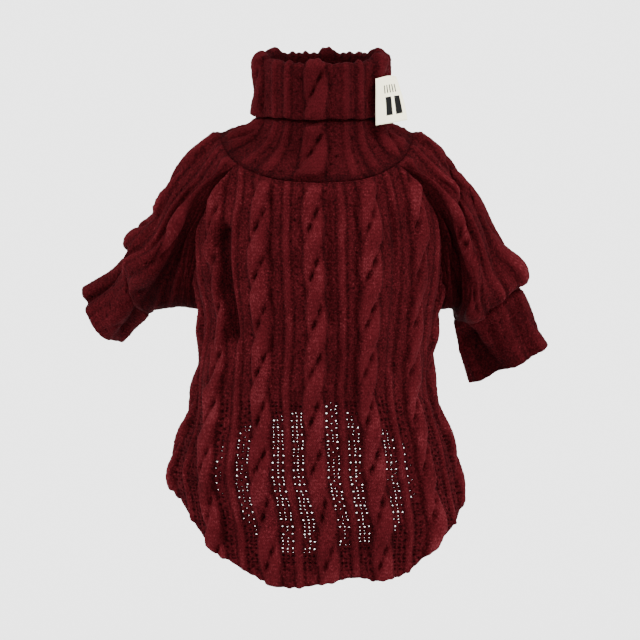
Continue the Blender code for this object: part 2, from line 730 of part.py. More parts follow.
def tube_solid(outer_rings, inner_rings):
    """A closed wall from outer and inner rings; both ends have the same number of points."""
    mesh = Mesh()
    outer = [mesh.add(ring) for ring in outer_rings]
    inner = [mesh.add(ring) for ring in inner_rings]
    for k in range(len(outer) - 1):
        mesh.ring(outer[k], outer[k + 1])
    for k in range(len(inner) - 1):
        mesh.ring(inner[k + 1], inner[k])
    mesh.ring(inner[0], outer[0])
    mesh.ring(outer[-1], inner[-1])
    return mesh


def cuff_rings(name):
    """Rings of a cuff before its knit is raised."""
    side = SIDES[name]
    shares = armhole_ring(side)[-1]
    source = CUFFS[name]
    axes = oval_axes(source, side)
    return np.stack([oval(k, source, side, axes[k], shares) for k in range(len(axes))])


def folded(rings, normals, folds, along, fade):
    """Rings of a sleeve or cuff with its large folds raised."""
    rise = fold_height(folds, signed_reach(rings), along[:, None]) * fade[:, None]
    return rings + normals * rise[..., None]


def sleeve_solid(name):
    """A raglan sleeve, from its armhole to the seam of its cuff."""
    side = SIDES[name]
    start, start_inner, start_normal, shares = armhole_ring(side)
    source = SLEEVES[name]
    axes = oval_axes(source, side)
    shaped = [oval(k, source, side, axes[k], shares) for k in range(len(axes) - 1)]
    cuff = cuff_rings(name)
    cuff_axis = unit((cuff[1] - cuff[0]).mean(axis=0))
    end = cuff[0] - SEAM_GAP * cuff_axis
    keys = np.concatenate([[0.0], source["along"]])
    rings = np.stack([start] + shaped + [end])
    length = keys[-1]

    def walls(along):
        """Base rings, their normals and how far the knit is raised on each."""
        free = smooth(0.0, SHOULDER_BLEND, along)[:, None, None]

        def turned(points):
            return unit(ring_normals(points) * free + start_normal * (1.0 - free))

        spread = smooth(0.0, FOLD_TAPER, along) * smooth(0.0, SEAM_TAPER, length - along)
        plain = eased(keys, rings, along)
        base = folded(plain, turned(plain), SLEEVE_FOLDS[name], along, spread)
        fade = smooth(0.0, RAGLAN_TAPER, seam_distance(base, start))
        fade = fade * smooth(0.0, SEAM_TAPER, length - along)[:, None]
        reach = signed_reach(base)
        place = np.where(reach > 0.0, reach / read(NEAR_SPREAD, "along", "spread", along)[:, None], reach)
        return base, turned(base), knit_height(place, along[:, None]) * fade

    base, normal, rise = walls(np.linspace(0.0, length, SLEEVE_ROWS))
    outer = base + normal * rise[..., None]
    base, normal, _ = walls(np.linspace(0.0, length, SLEEVE_INNER_ROWS))
    inner = base - normal * WALL
    inner[0] = start_inner
    inner[-1] = end - ring_normals(cuff)[0] * WALL
    return tube_solid(outer, inner).build("sleeve_" + name, BURGUNDY, KNIT_ROUGHNESS)


def cuff_solid(name):
    """A cuff, with its knit running along it."""
    rings = cuff_rings(name)
    keys = CUFFS[name]["along"]
    length = keys[-1]
    axis = unit((rings[1] - rings[0]).mean(axis=0))

    def walls(along):
        """Base rings, their normals and how far the knit is raised on each."""
        fade = smooth(0.0, SEAM_TAPER, along)
        plain = eased(keys, rings, along)
        base = folded(plain, ring_normals(plain), CUFF_FOLDS[name], along, fade)
        base[0] += SEAM_GAP * axis
        return base, ring_normals(base), knit_height(signed_reach(base), along[:, None]) * fade[:, None]

    base, normal, rise = walls(np.linspace(0.0, length, CUFF_ROWS))
    outer = base + normal * rise[..., None]
    start = base[0] - ring_normals(rings)[0] * WALL
    base, normal, _ = walls(np.linspace(0.0, length, CUFF_INNER_ROWS))
    inner = base - normal * WALL
    inner[0] = start
    return tube_solid(outer, inner).build("cuff_" + name, BURGUNDY, KNIT_ROUGHNESS)


def collar_height(angle, down):
    """Rise of the collar's knit: a rope every 60 degrees and two ribs between ropes."""
    sector = 360.0 / COLLAR_ROPES
    off = (angle - COLLAR_ROPE_START + 0.5 * sector) % sector - 0.5 * sector
    per_degree = np.radians(1.0) * COLLAR_HALF_WIDTH
    rise = rope_height(off * per_degree, down) * COLLAR_ROPE_RISE
    for rib in COLLAR_RIBS:
        gap = (angle - COLLAR_ROPE_START - rib + 0.5 * sector) % sector - 0.5 * sector
        rise = np.maximum(rise, rib_height(gap * per_degree, COLLAR_RIB_HALF * per_degree))
    return rise


def collar_tube(angle, height, inset):
    """A point on the upright tube of the collar, inset from its outer base surface."""
    turn = np.radians(angle)
    x = COLLAR_MIDDLE + (COLLAR_HALF_WIDTH - inset) * np.sin(turn)
    y = -(COLLAR_HALF_DEPTH - inset) * np.cos(turn)
    return np.stack(np.broadcast_arrays(x, y, height), axis=-1)


def collar_section(angle):
    """The closed section of the collar at one angle: up the stand, over the fold and down the layer."""
    stand_face = COLLAR_WALL + LAYER_GAP
    stand_inside = stand_face + COLLAR_WALL
    fold = COLLAR_TOP + COLLAR_SIDE_RISE * np.sin(np.radians(angle)) ** 4
    fold -= COLLAR_FRONT_DIP * max(np.cos(np.radians(angle)), 0.0) ** 2
    radial = np.array([np.sin(np.radians(angle)), -np.cos(np.radians(angle)), 0.0])
    neck = float(neck_height(np.array(angle)))
    neck_normal = torso_normal(np.array(angle), np.array(neck))
    up = unit(torso_point(angle, neck + 0.6) - torso_point(angle, neck - 0.6))
    base = torso_point(angle, neck) + SEAM_GAP * up

    def stand(share, inset, foot):
        """The stand between the neck seam and the layer's edge, flaring out to the seam."""
        level = neck + (COLLAR_EDGE - neck) * share
        straight = collar_tube(angle, level, inset)
        flare = (1.0 - share) ** 2
        point = straight + (foot - straight) * flare
        point[2] = foot[2] + (COLLAR_EDGE - foot[2]) * share
        return point

    outside = []
    shares = np.linspace(0.0, 1.0, FLARE_ROWS)
    for share in shares:
        point = stand(share, stand_face, base)
        rise = collar_height(angle, COLLAR_STAND_CROSSING - point[2])
        rise = rise * smooth(0.0, 0.2, share) * smooth(1.05, 0.75, share)
        lean = unit(neck_normal * (1.0 - share) + radial * share)
        outside.append(point + lean * rise)
    pocket = fold - POCKET_START
    outside.append(collar_tube(angle, pocket, stand_face))
    outside.append(collar_tube(angle, pocket + POCKET_RISE, 0.5 * (stand_face + COLLAR_WALL)))
    outside.append(collar_tube(angle, pocket, COLLAR_WALL))
    outside.append(collar_tube(angle, COLLAR_LAYER_EDGE, COLLAR_WALL))
    for level in np.linspace(COLLAR_LAYER_EDGE, fold - CROWN_START, LAYER_ROWS):
        rise = collar_height(angle, COLLAR_LAYER_CROSSING - level)
        outside.append(collar_tube(angle, level, 0.0) + radial * rise)
    crown_rise = collar_height(angle, COLLAR_LAYER_CROSSING - fold)
    middle = 0.5 * stand_inside
    for turn in (60.0, 120.0):
        lift = np.sin(np.radians(turn)) * (CROWN_START + CROWN_SPREAD * crown_rise)
        inset = middle - middle * np.cos(np.radians(turn)) - crown_rise * 0.5 * (turn < 90.0)
        outside.append(collar_tube(angle, fold - CROWN_START + lift, inset))
    outside.append(collar_tube(angle, fold - STAND_TOP, stand_inside))
    outside.append(collar_tube(angle, 0.5 * (fold + COLLAR_EDGE), stand_inside))
    foot = base - neck_normal * FOOT_WALL
    for share in shares[::-2]:
        outside.append(stand(share, stand_inside, foot))
    outside.append(foot)
    return outside


def collar_solid():
    """The collar: one tube, sewn to the neck ring and turned down over itself."""
    sector = 360.0 / COLLAR_ROPES
    angles = [COLLAR_ROPE_START + sector * k + c for k in range(COLLAR_ROPES) for c in COLLAR_COLUMNS]
    mesh = Mesh()
    loops = [mesh.add(collar_section((a + 180.0) % 360.0 - 180.0)) for a in angles]
    for k in range(len(loops)):
        mesh.ring(loops[k], loops[(k + 1) % len(loops)])
    return mesh.build("collar", DEEP_BURGUNDY, KNIT_ROUGHNESS)


def label_point(across, down):
    """A point of the label's middle sheet: sewn along its left edge, standing off at the lower right."""
    turn = np.radians(LABEL_TOP_TURN + (LABEL_LOW_TURN - LABEL_TOP_TURN) * down)
    reach = LABEL_WIDTH * across
    x = LABEL_LEFT[0] + reach * np.cos(turn)
    y = LABEL_LEFT[1] + reach * np.sin(turn)
    return np.array([x, y, LABEL_TOP - LABEL_HEIGHT * down + LABEL_DROOP * across * down])


def label_solid():
    """The folded woven label on the collar."""
    across = np.linspace(0.0, 1.0, LABEL_COLUMNS)
    down = np.linspace(0.0, 1.0, LABEL_ROWS)
    columns = []
    for a in across:
        front = []
        behind = []
        for d in down:
            point = label_point(a, d)
            right = label_point(a + 0.01, d) - label_point(a - 0.01, d)
            below = label_point(a, d + 0.01) - label_point(a, d - 0.01)
            normal = unit(np.cross(below, right))
            front.append(point + 0.5 * LABEL_THICKNESS * normal)
            behind.append(point - 0.5 * LABEL_THICKNESS * normal)
        columns.append((front, -down, behind, -down))
    return sheet_solid(columns).build("label", OFF_WHITE, TAPE_ROUGHNESS)


def main():
    for old in list(bpy.data.objects):
        bpy.data.objects.remove(old)
    group = bpy.data.collections.new(COLLECTION)
    bpy.context.scene.collection.children.link(group)
    panel_solid("back_panel", BACK, BACK_CORNER)
    panel_solid("belly_panel", BELLY, BELLY_CORNER)
    facing_solid()
    for name in SIDES:
        sleeve_solid(name)
        cuff_solid(name)
    collar_solid()
    label_solid()


main()
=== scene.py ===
"""Looks of the dog sweater: its knitted cloth, seams, label, stage, light and camera.

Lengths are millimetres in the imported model's frame until a mesh is made, and angles are degrees.
The long back panel faces -Y, and angles round the body start at the middle of the back.
"""
from collections import namedtuple

import bmesh
import bpy
import numpy as np
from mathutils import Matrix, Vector


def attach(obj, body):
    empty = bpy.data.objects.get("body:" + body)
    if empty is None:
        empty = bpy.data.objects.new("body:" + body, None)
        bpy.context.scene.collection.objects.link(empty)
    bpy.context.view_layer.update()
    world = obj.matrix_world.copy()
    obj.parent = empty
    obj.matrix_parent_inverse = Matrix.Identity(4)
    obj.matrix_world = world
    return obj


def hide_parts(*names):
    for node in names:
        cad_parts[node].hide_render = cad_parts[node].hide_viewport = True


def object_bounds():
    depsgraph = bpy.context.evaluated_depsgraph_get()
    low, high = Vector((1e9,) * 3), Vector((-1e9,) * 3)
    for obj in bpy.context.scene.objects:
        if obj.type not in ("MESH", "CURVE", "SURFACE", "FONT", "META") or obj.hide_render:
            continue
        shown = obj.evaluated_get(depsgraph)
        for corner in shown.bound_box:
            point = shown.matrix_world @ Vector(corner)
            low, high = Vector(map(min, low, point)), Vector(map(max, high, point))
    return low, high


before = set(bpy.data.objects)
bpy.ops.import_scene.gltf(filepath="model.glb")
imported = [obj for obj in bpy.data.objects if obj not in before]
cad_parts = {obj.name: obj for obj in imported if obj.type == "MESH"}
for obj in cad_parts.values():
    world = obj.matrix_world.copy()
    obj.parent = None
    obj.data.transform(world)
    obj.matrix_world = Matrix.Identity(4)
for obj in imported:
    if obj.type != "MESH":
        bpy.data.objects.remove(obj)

CAD_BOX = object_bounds()
MM = 0.001
BODY = "root"

# The photograph's view: its middle on the sweater, its scale, and how far the camera looks down.
VIEW_CENTRE = (2.4, 0.0, -98.3)
VIEW_WIDTH = 384.0
VIEW_DISTANCE = 15000.0
VIEW_DOWN = 4.7
SENSOR = 36.0

# The cloth's thickness, and the gaps that keep adjoining pieces apart.
WALL = 2.0
SEAM_GAP = 0.12
ARMHOLE_GAP = 0.15
LAYER_GAP = 1.0

# Knit pattern: a two-strand rope, an open strip, a narrow rib and an open strip make one repeat.
REPEAT = 32.6
CROSSING = 29.1
FIRST_CROSSING = -34.4
ROPE_EDGE = 7.2
STRAND_HALF = 3.95
STRAND_SWELL = 0.26
STRAND_SWAY = 2.9
STRAND_RISE = 2.7
STRAND_LIFT = 1.6
ROPE_BASE = 0.6
ROPE_FADE = 1.8
FULLNESS = 0.05
RIB_HALF = 2.6
RIB_RISE = 1.5
ROW = 1.075
STITCH_WIDTH = 2.3
STITCH_HEIGHT = 2.15
PATTERN_DRIFT = -4.2
PATTERN_LEAN = -0.029

# Near a seam the knit flattens, sinks and puckers.
SEAM_TAPER = 4.0
SEAM_SINK = 1.1
RAGLAN_TAPER = 5.5
PUCKER_HEIGHT = 0.45
PUCKER_LENGTH = 5.2
PUCKER_WANDER = 0.8
PUCKER_WANDER_RATE = 0.29
PUCKER_START = 1.5
PUCKER_REACH = 8.0

# Troughs between folds get painted shade and ridges a little painted light. The knit is flatter in
# troughs, on cuffs and under the arms; under the arms it gets painted shade, and the cuffs' knit is
# evened to a tone lowered as painted shade.
FOLD_TAPER = 16.0
FOLD_SHADE = 0.085
FOLD_SHADE_DEPTH = 6.0
HOLLOW_CALM = 0.75
UNDERARM_TAPER = 5.0
UNDERARM_REACH = 36.0
UNDERARM_SHADE = 0.46
CUFF_RELIEF = {"left": 0.3, "right": 0.5}
CUFF_SHADED_TONE = 0.66

# Slits where one strand dives under the other, sunk and painted dark as painted shade: a pair at each
# crossing, on the rope's slant.
SLIT_ACROSS = 1.6
SLIT_DOWN = 4.2
SLIT_HALF_WIDTH = 0.95
SLIT_HALF_LENGTH = 3.5
SLIT_DEPTH = 3.0
SLIT_LEAST = 0.55
SLIT_SPREAD = 0.60
SLIT_SEEDS = (40.0, 7.0, 2.0)

# Slow waves down the ropes, by which their fullness and tone wander: rate, and shift from rope to rope.
STRAND_WAVE = (0.19, 2.1)
ROPE_WAVE = (0.083, 1.3)
TONE_WAVE = (0.21, 1.9)

# On the shoulders, between these angles and heights, the cloth turns to face upwards.
SHOULDER_BACK = (46.0, 74.0)
SHOULDER_BELLY = (130.0, 106.0)
SHOULDER_RISE = (-16.0, 8.0)
SHOULDER_TURN = 1.4
ANGLE_STEP = 0.4
HEIGHT_STEP = 0.6
ON_SEAM = 0.995
NECK_MARGIN = 0.05
ARMPIT_BLEND = 14.0
ARMPIT_END = 1.0

# The side seams' angle, and how far each panel's pattern reaches from its middle line.
SIDE_SEAM = 104.0
BACK_HALF = 3.3 * REPEAT
BELLY_HALF = 2.64 * REPEAT

# How finely rings, seams and ovals are followed, and how often a panel's ends are sought again.
RING_SAMPLES = 41
SEAM_SAMPLES = 400
OVAL_SAMPLES = 73
TOP_STEPS = 26
HEM_STEPS = 12
SEEK_MARGIN = 1.0
SAME_LEVEL = 1e-6
# Points whose distances from a seam are found at once.
CHUNK = 2000


def eased(keys, values, x):
    """Smooth curve through the rows of a table; the values may be whole rings of points."""
    keys = np.asarray(keys, float)
    values = np.asarray(values, float)
    x = np.clip(np.asarray(x, float), keys[0], keys[-1])
    slopes = np.gradient(values, keys, axis=0)
    i = np.clip(np.searchsorted(keys, x, side="right") - 1, 0, len(keys) - 2)
    tail = (1,) * (values.ndim - 1)
    span = (keys[i + 1] - keys[i]).reshape(x.shape + tail)
    t = (x - keys[i]).reshape(x.shape + tail) / span
    return ((2 * t ** 3 - 3 * t ** 2 + 1) * values[i] + (t ** 3 - 2 * t ** 2 + t) * span * slopes[i]
            + (3 * t ** 2 - 2 * t ** 3) * values[i + 1] + (t ** 3 - t ** 2) * span * slopes[i + 1])


def read(source, key, column, x):
    return eased(source[key], source[column], x)


def smooth(low, high, x):
    """0 at low, 1 at high, with soft ends."""
    t = np.clip((np.asarray(x, float) - low) / (high - low), 0.0, 1.0)
    return t * t * (3.0 - 2.0 * t)


def blend(start, end, share):
    return start + (end - start) * share


def unit(vectors):
    return vectors / np.linalg.norm(vectors, axis=-1, keepdims=True)


def reach_along(path):
    """Distance along a path to each of its points."""
    return np.concatenate([[0.0], np.cumsum(np.linalg.norm(np.diff(path, axis=0), axis=1))])


def sampled(values, keys, at):
    """Rows of values at other places than their own keys."""
    return np.stack([np.interp(at, keys, column) for column in np.transpose(values)], axis=1)


def fold_height(folds, across, along):
    """Rise of the large folds at a place."""
    total = np.zeros(np.broadcast(across, along).shape)
    for row in range(len(folds["width"])):
        start_across, start_along = folds["across_start"][row], folds["along_start"][row]
        run_across = folds["across_end"][row] - start_across
        run_along = folds["along_end"][row] - start_along
        reach = (across - start_across) * run_across + (along - start_along) * run_along
        share = np.clip(reach / (run_across ** 2 + run_along ** 2), 0.0, 1.0)
        off_across = across - start_across - share * run_across
        off_along = along - start_along - share * run_along
        distance = np.hypot(off_across, off_along)
        total += folds["height"][row] * np.exp(-(distance / folds["width"][row]) ** 2)
    return total


def table(names, rows):
    """A table with named columns, a row for each section."""
    return dict(zip(names.split(), np.array(rows, float).T))


TORSO = table("height half_width middle back_depth belly_depth", (
    (-262, 79.5, 5.0, 42.5, 42.0),
    (-250, 81.0, 4.5, 43.0, 42.5),
    (-235, 82.5, 4.0, 43.5, 43.0),
    (-220, 84.0, 4.0, 44.0, 43.5),
    (-205, 84.6, 1.6, 44.5, 44.0),
    (-190, 84.6, -0.8, 45.0, 44.5),
    (-174, 80.8, -0.6, 46.0, 45.0),
    (-155, 74.0, -1.0, 47.5, 46.5),
    (-136, 70.2, -1.5, 49.0, 48.0),
    (-116, 68.6, 0.4, 50.5, 50.0),
    (-96, 69.0, 1.4, 51.5, 52.0),
    (-70, 73.5, 1.4, 52.0, 53.0),
    (-43, 74.5, 1.6, 51.0, 52.0),
    (-25, 70.5, 2.0, 49.5, 50.0),
    (-12, 67.5, 1.6, 47.0, 48.0),
    (0, 64.5, 0.8, 45.5, 46.0),
    (6, 61.5, 0.6, 44.0, 45.0),
    (13, 58.4, 0.5, 42.0, 43.0),
    (18, 55.4, 0.5, 40.0, 41.0),
))

NECK = table("angle height", (
    (0, -12.0), (24, -10.0), (48, -2.0), (70, 9.0), (90, 15.4),
    (110, 13.0), (128, 4.0), (150, 0.5), (180, -1.0),
))
# Where the neck seam meets the raglan seams.
BACK_CORNER = 48.0
BELLY_CORNER = 128.0

# The raglan seams: where each panel ends at a height, and how far its edge is mitred.
RAGLAN = table("height back belly mitre", (
    (-94, 104.0, 104.0, 1.0),
    (-78, 94.0, 113.0, 1.0),
    (-60, 86.0, 117.0, 1.0),
    (-42, 80.0, 119.0, 0.8),
    (-31, 75.0, 120.0, 0.6),
    (-20, 67.5, 121.5, 0.3),
    (-10, 59.0, 123.5, 0.15),
    (-2, 48.0, 126.0, 0.0),
    (4, 38.0, 128.0, 0.0),
    (10, 26.0, 130.0, 0.0),
))
ARMPIT = -94.0

HEM = table("angle height", (
    (0, -258.0), (12, -257.5), (22, -255.5), (31, -251.0), (37, -247.0), (45, -239.0), (51, -233.0),
    (57, -226.0), (66, -216.5), (76, -209.0), (84, -204.5), (92, -200.5), (104, -194.0), (125, -187.0),
    (137, -178.0), (145, -168.0), (164, -158.0), (172, -152.0), (180, -149.5),
))
HEM_TILT = -3.0
HEM_RIPPLE = 0.55
RIPPLE_RATE = 1.4
RIPPLE_SWELL_RATE = 0.37
RIPPLE_EVEN = 0.6

# How much the hem is raised here and lowered there; angles are signed in this table.
HEM_SHIFT = table("angle rise", (
    (-180, -2.0), (-173, -5.0), (-164, -2.5), (-150, -2.0), (-140, 0.0), (-104, 0.0), (-80, -2.0),
    (-64, -6.0), (-54, -5.4), (-46, -2.4), (-38, 0.0), (-20, 0.0), (-12, 0.8), (-5, 3.0), (3, 5.6),
    (10, 8.0), (16, 7.8), (22, 4.6), (28, 3.2), (34, 1.0), (42, 0.0), (50, 0.6), (56, 0.0), (65, -3.0),
    (84, -3.0), (94, 0.0), (104, 0.0), (172, 0.0), (180, -2.0),
))
FACING = table("angle width", (
    (0, 18.5), (14, 19.0), (24, 21.5), (32, 26.0), (40, 33.0), (49, 38.0), (63, 36.0), (75, 30.0),
    (90, 26.0), (104, 24.0),
))
FACING_WALL = 1.6
FACING_GAP = 1.3
FACING_LIFT = 0.8
FACING_SIDE = 2.0

# Sleeve and cuff sections: ovals through a top and a lowest point. Spread sets how the places round
# the armhole spread over each oval.
SLEEVE_COLUMNS = "along top_out top_y top_z low_out low_y low_z near far spread"
SLEEVES = {
    "left": table(SLEEVE_COLUMNS, (
        (26, 83.5, 4.0, -13.0, 84.0, 22.0, -92.0, 21.0, 18.0, 1.35),
        (44, 92.5, 9.0, -34.5, 92.0, 25.0, -93.5, 22.0, 18.0, 1.3),
        (62, 106.0, 18.5, -47.5, 98.0, 30.0, -95.0, 18.0, 13.5, 1.25),
        (74, 108.5, 25.0, -55.0, 99.0, 36.0, -95.0, 14.5, 14.5, 1.2),
    )),
    "right": table(SLEEVE_COLUMNS, (
        (26, 81.0, 3.0, -8.0, 81.0, 18.0, -93.0, 22.0, 18.0, 1.35),
        (46, 96.5, 8.0, -30.5, 82.5, 22.0, -95.0, 24.0, 18.0, 1.3),
        (62, 109.5, 14.0, -56.0, 83.5, 26.0, -97.0, 21.0, 16.0, 1.25),
        (74, 121.5, 20.0, -72.0, 83.0, 29.0, -98.5, 17.0, 14.0, 1.2),
        (80, 121.5, 24.0, -79.5, 82.0, 32.0, -99.5, 12.5, 12.5, 1.2),
    )),
}
CUFFS = {
    "left": table(SLEEVE_COLUMNS, (
        (0, 108.5, 25.0, -55.0, 99.0, 36.0, -95.0, 14.5, 14.5, 1.2),
        (19, 120.0, 38.0, -72.5, 107.5, 48.0, -105.0, 15.0, 15.0, 1.2),
        (38, 139.0, 51.0, -85.0, 116.0, 60.0, -113.0, 15.5, 15.5, 1.2),
    )),
    "right": table(SLEEVE_COLUMNS, (
        (0, 121.5, 24.0, -79.5, 82.0, 32.0, -99.5, 12.5, 12.5, 1.2),
        (20, 128.5, 30.0, -98.0, 86.0, 38.0, -118.5, 11.5, 11.5, 1.2),
        (41, 137.5, 37.0, -117.0, 91.5, 45.0, -138.5, 11.5, 11.5, 1.2),
    )),
}
SIDES = {"left": -1.0, "right": 1.0}

# Large folds: a soft ridge (plus) or trough (minus) along a line from start to end. Across is the
# place across the knit pattern, or the distance round from a sleeve's top line, plus on the back side.
FOLD_COLUMNS = "across_start along_start across_end along_end width height"
SLEEVE_FOLDS = {
    "left": table(FOLD_COLUMNS, (
        (2, 36, 22, 70, 2.6, 2.4),
        (40, 18, 24, 60, 3.0, 2.8),
        (66, 12, 57, 46, 14.0, -7.0),
        (33, 24, 18, 60, 2.6, -1.8),
        (72, 40, 62, 64, 6.0, 2.4),
        (-4, 60, 2, 70, 5.0, 2.2),
        (10, 8, 26, 20, 5.0, -1.6),
        (-22, 18, -14, 60, 5.0, -2.0),
        (-42, 22, -30, 66, 8.0, -3.4),
        (-58, 30, -48, 70, 6.0, 2.2),
    )),
    "right": table(FOLD_COLUMNS, (
        (8, 8, 20, 22, 4.0, 1.6),
        (20, 22, 46, 16, 4.0, 2.4),
        (0, 20, 12, 28, 1.8, -2.4),
        (12, 28, 34, 27, 2.2, -2.8),
        (60, 12, 84, 24, 12.0, -7.0),
        (44, 24, 31, 64, 3.4, 3.2),
        (56, 46, 44, 66, 5.0, 2.6),
        (4, 34, 22, 78, 1.5, -1.8),
        (31, 30, 31, 76, 1.5, -1.6),
        (-4, 62, 4, 76, 6.0, 2.0),
        (-36, 18, -30, 70, 8.0, -3.4),
        (-62, 30, -50, 70, 7.0, 2.4),
        (-17, 26, -12, 74, 4.0, 1.6),
    )),
}
CUFF_FOLDS = {
    "left": table(FOLD_COLUMNS, (
        (5, 12, 9, 42, 3.0, -3.8),
        (-3, 14, -2, 42, 5.0, 1.8),
        (43, 0, 43, 24, 5.5, -4.8),
        (53, 4, 50, 38, 3.2, 2.0),
        (25, 6, 27, 38, 6.0, 1.2),
        (-26, 6, -22, 40, 7.0, -2.6),
    )),
    "right": table(FOLD_COLUMNS, (
        (24, 2, 25, 42, 4.0, 1.6),
        (36, 1, 33, 18, 3.6, 2.2),
        (41, 14, 37, 40, 8.0, -6.5),
        (51, 20, 47, 40, 3.6, 1.6),
        (13, 8, 12, 42, 1.5, -1.6),
        (27, 10, 27, 42, 1.4, -1.2),
        (-24, 4, -28, 42, 7.0, -2.8),
    )),
}
BODY_FOLDS = {
    "back": table(FOLD_COLUMNS, (
        (-96, -120, -74, -200, 11.0, -2.6),
        (-82, -112, -58, -172, 10.0, 1.8),
        (92, -122, 72, -196, 11.0, -2.4),
        (60, -40, 78, -108, 9.0, -1.8),
        (-62, -46, -78, -104, 9.0, -1.8),
        (-30, -214, 24, -226, 12.0, -1.6),
        (-56, -42, -53, -104, 4.2, -5.6),
        (-70, -64, -67, -150, 3.0, -1.6),
        (47, -28, 50, -124, 3.0, -2.6),
        (-27, -22, -28, -112, 2.4, -1.9),
        (9, -22, 8, -96, 2.2, -1.5),
        (25, -26, 25, -140, 1.7, -1.2),
        (-24, -60, -18, -130, 6.0, -0.7),
        (14, -90, 20, -180, 7.0, -0.8),
        (84, -150, 64, -230, 6.0, 1.4),
        (-88, -170, -60, -236, 6.0, 1.2),
    )),
    "belly": table(FOLD_COLUMNS, (
        (-70, -88, -34, -134, 10.0, -2.4),
        (-58, -76, -20, -112, 10.0, 1.6),
        (68, -90, 30, -140, 11.0, -2.4),
        (14, -40, 40, -92, 10.0, -1.6),
        (-12, -60, -24, -140, 6.0, -1.2),
        (50, -70, 60, -150, 6.0, 1.4),
    )),
}
SHOULDER_BLEND = 26.0

# How much a sleeve's knit is spread across its near half, along the sleeve.
NEAR_SPREAD = table("along spread", ((0, 1.0), (12, 1.15), (26, 1.36), (40, 1.46), (80, 1.46)))
NECK_COLUMNS = 28
RAGLAN_COLUMNS = 68
HALF_COLUMNS = NECK_COLUMNS + RAGLAN_COLUMNS
ON_LINE = 0.001
CLOSING_GAP = 0.4


def from_back(angle):
    """Angle from the middle of the back on either side, 0 to 180."""
    return 180.0 - np.abs(180.0 - np.abs(angle) % 360.0)


def torso_point(angle, height):
    """A point of the body's outer base surface."""
    turn = np.radians(angle)
    half_width = read(TORSO, "height", "half_width", height)
    depth = np.where(np.cos(turn) > 0.0, read(TORSO, "height", "back_depth", height),
                     read(TORSO, "height", "belly_depth", height))
    x = read(TORSO, "height", "middle", height) + half_width * np.sin(turn)
    return np.stack(np.broadcast_arrays(x, -depth * np.cos(turn), height), axis=-1)


def torso_normal(angle, height):
    """Direction out of the body, turned upwards on the shoulders beside the neck."""
    across = torso_point(angle + ANGLE_STEP, height) - torso_point(angle - ANGLE_STEP, height)
    down = torso_point(angle, height - HEIGHT_STEP) - torso_point(angle, height + HEIGHT_STEP)
    normal = unit(np.cross(down, across))
    place = from_back(angle)
    shoulder = smooth(*SHOULDER_BACK, place) * smooth(*SHOULDER_BELLY, place)
    shoulder = shoulder * smooth(*SHOULDER_RISE, height)
    normal[..., 2] += SHOULDER_TURN * shoulder
    return unit(normal)


def neck_height(angle):
    return read(NECK, "angle", "height", from_back(angle))


def hem_height(angle):
    signed = (np.asarray(angle, float) + 180.0) % 360.0 - 180.0
    level = read(HEM, "angle", "height", from_back(angle)) + read(HEM_SHIFT, "angle", "rise", signed)
    swell = blend(RIPPLE_EVEN, 1.0, np.sin(RIPPLE_SWELL_RATE * signed))
    ripple = HEM_RIPPLE * np.sin(RIPPLE_RATE * signed) * swell
    return level + HEM_TILT * np.sin(np.radians(angle)) + ripple


class Panel:
    """A body panel, spread both ways from its middle line to the side seams."""

    def __init__(self, middle, half_angle, half_pattern, raglan, corner):
        self.middle = middle
        self.half_angle = half_angle
        self.half_pattern = half_pattern
        self.raglan = raglan
        self.corner = corner
        self.seams = np.concatenate([self.raglan_line(side) for side in (-1.0, 1.0)])

    def angle(self, across, height):
        """Angle round the body of a place across the pattern, evenly spread along each ring."""
        across, height = np.broadcast_arrays(np.asarray(across, float), np.asarray(height, float))
        drift = (PATTERN_DRIFT + PATTERN_LEAN * height) if self.middle == 0.0 else 0.0
        spread = across / self.half_pattern
        place = spread + drift / self.half_pattern * (1.0 - spread ** 2)
        turns = self.middle + self.half_angle * np.linspace(0.0, 1.0, RING_SAMPLES)
        ring = torso_point(turns, height[..., None])
        steps = np.linalg.norm(np.diff(ring, axis=-2), axis=-1)
        reach = np.concatenate([np.zeros(height.shape + (1,)), np.cumsum(steps, axis=-1)], axis=-1)
        reach = reach / reach[..., -1:]
        target = np.abs(place)[..., None]
        index = np.clip((reach < target).sum(axis=-1), 1, reach.shape[-1] - 1)[..., None]
        low = np.take_along_axis(reach, index - 1, axis=-1)
        high = np.take_along_axis(reach, index, axis=-1)
        part = (index - 1 + (target - low) / (high - low))[..., 0] / (reach.shape[-1] - 1)
        return self.middle + np.sign(place) * part * self.half_angle

    def raglan_line(self, side):
        """Points close together along one raglan seam."""
        heights = np.linspace(float(neck_height(np.array(self.corner))), ARMPIT, SEAM_SAMPLES)
        return torso_point(side * read(RAGLAN, "height", self.raglan, heights), heights)

    def raglan_reach(self, height):
        """Angle from the middle line to the raglan seam."""
        return np.abs(read(RAGLAN, "height", self.raglan, height) - np.abs(self.middle))

    def top(self, across):
        """Height where each column meets the neck seam or a raglan seam."""
        low = np.full(np.shape(across), ARMPIT - SEEK_MARGIN)
        high = np.full(np.shape(across), TORSO["height"][-1] - SEEK_MARGIN)
        for _ in range(TOP_STEPS):
            tried = 0.5 * (low + high)
            angle = self.angle(across, tried)
            inside = tried < neck_height(angle)
            open_above = tried > ARMPIT
            inside &= ~open_above | (np.abs(angle - self.middle) < self.raglan_reach(tried))
            low = np.where(inside, tried, low)
            high = np.where(inside, high, tried)
        return low

    def bottom(self, across):
        height = np.full(np.shape(across), HEM["height"].mean())
        for _ in range(HEM_STEPS):
            height = hem_height(self.angle(across, height))
        return height

    def corners(self):
        """Places across the pattern of the corners between neck and raglan seams."""
        places = np.linspace(0.0, self.half_pattern, SEAM_SAMPLES)
        height = neck_height(np.array(self.corner))
        turn = abs(self.corner - self.middle)
        right = np.interp(turn, self.angle(places, height) - self.middle, places)
        left = np.interp(turn, self.middle - self.angle(-places, height), places)
        return [-left, right]


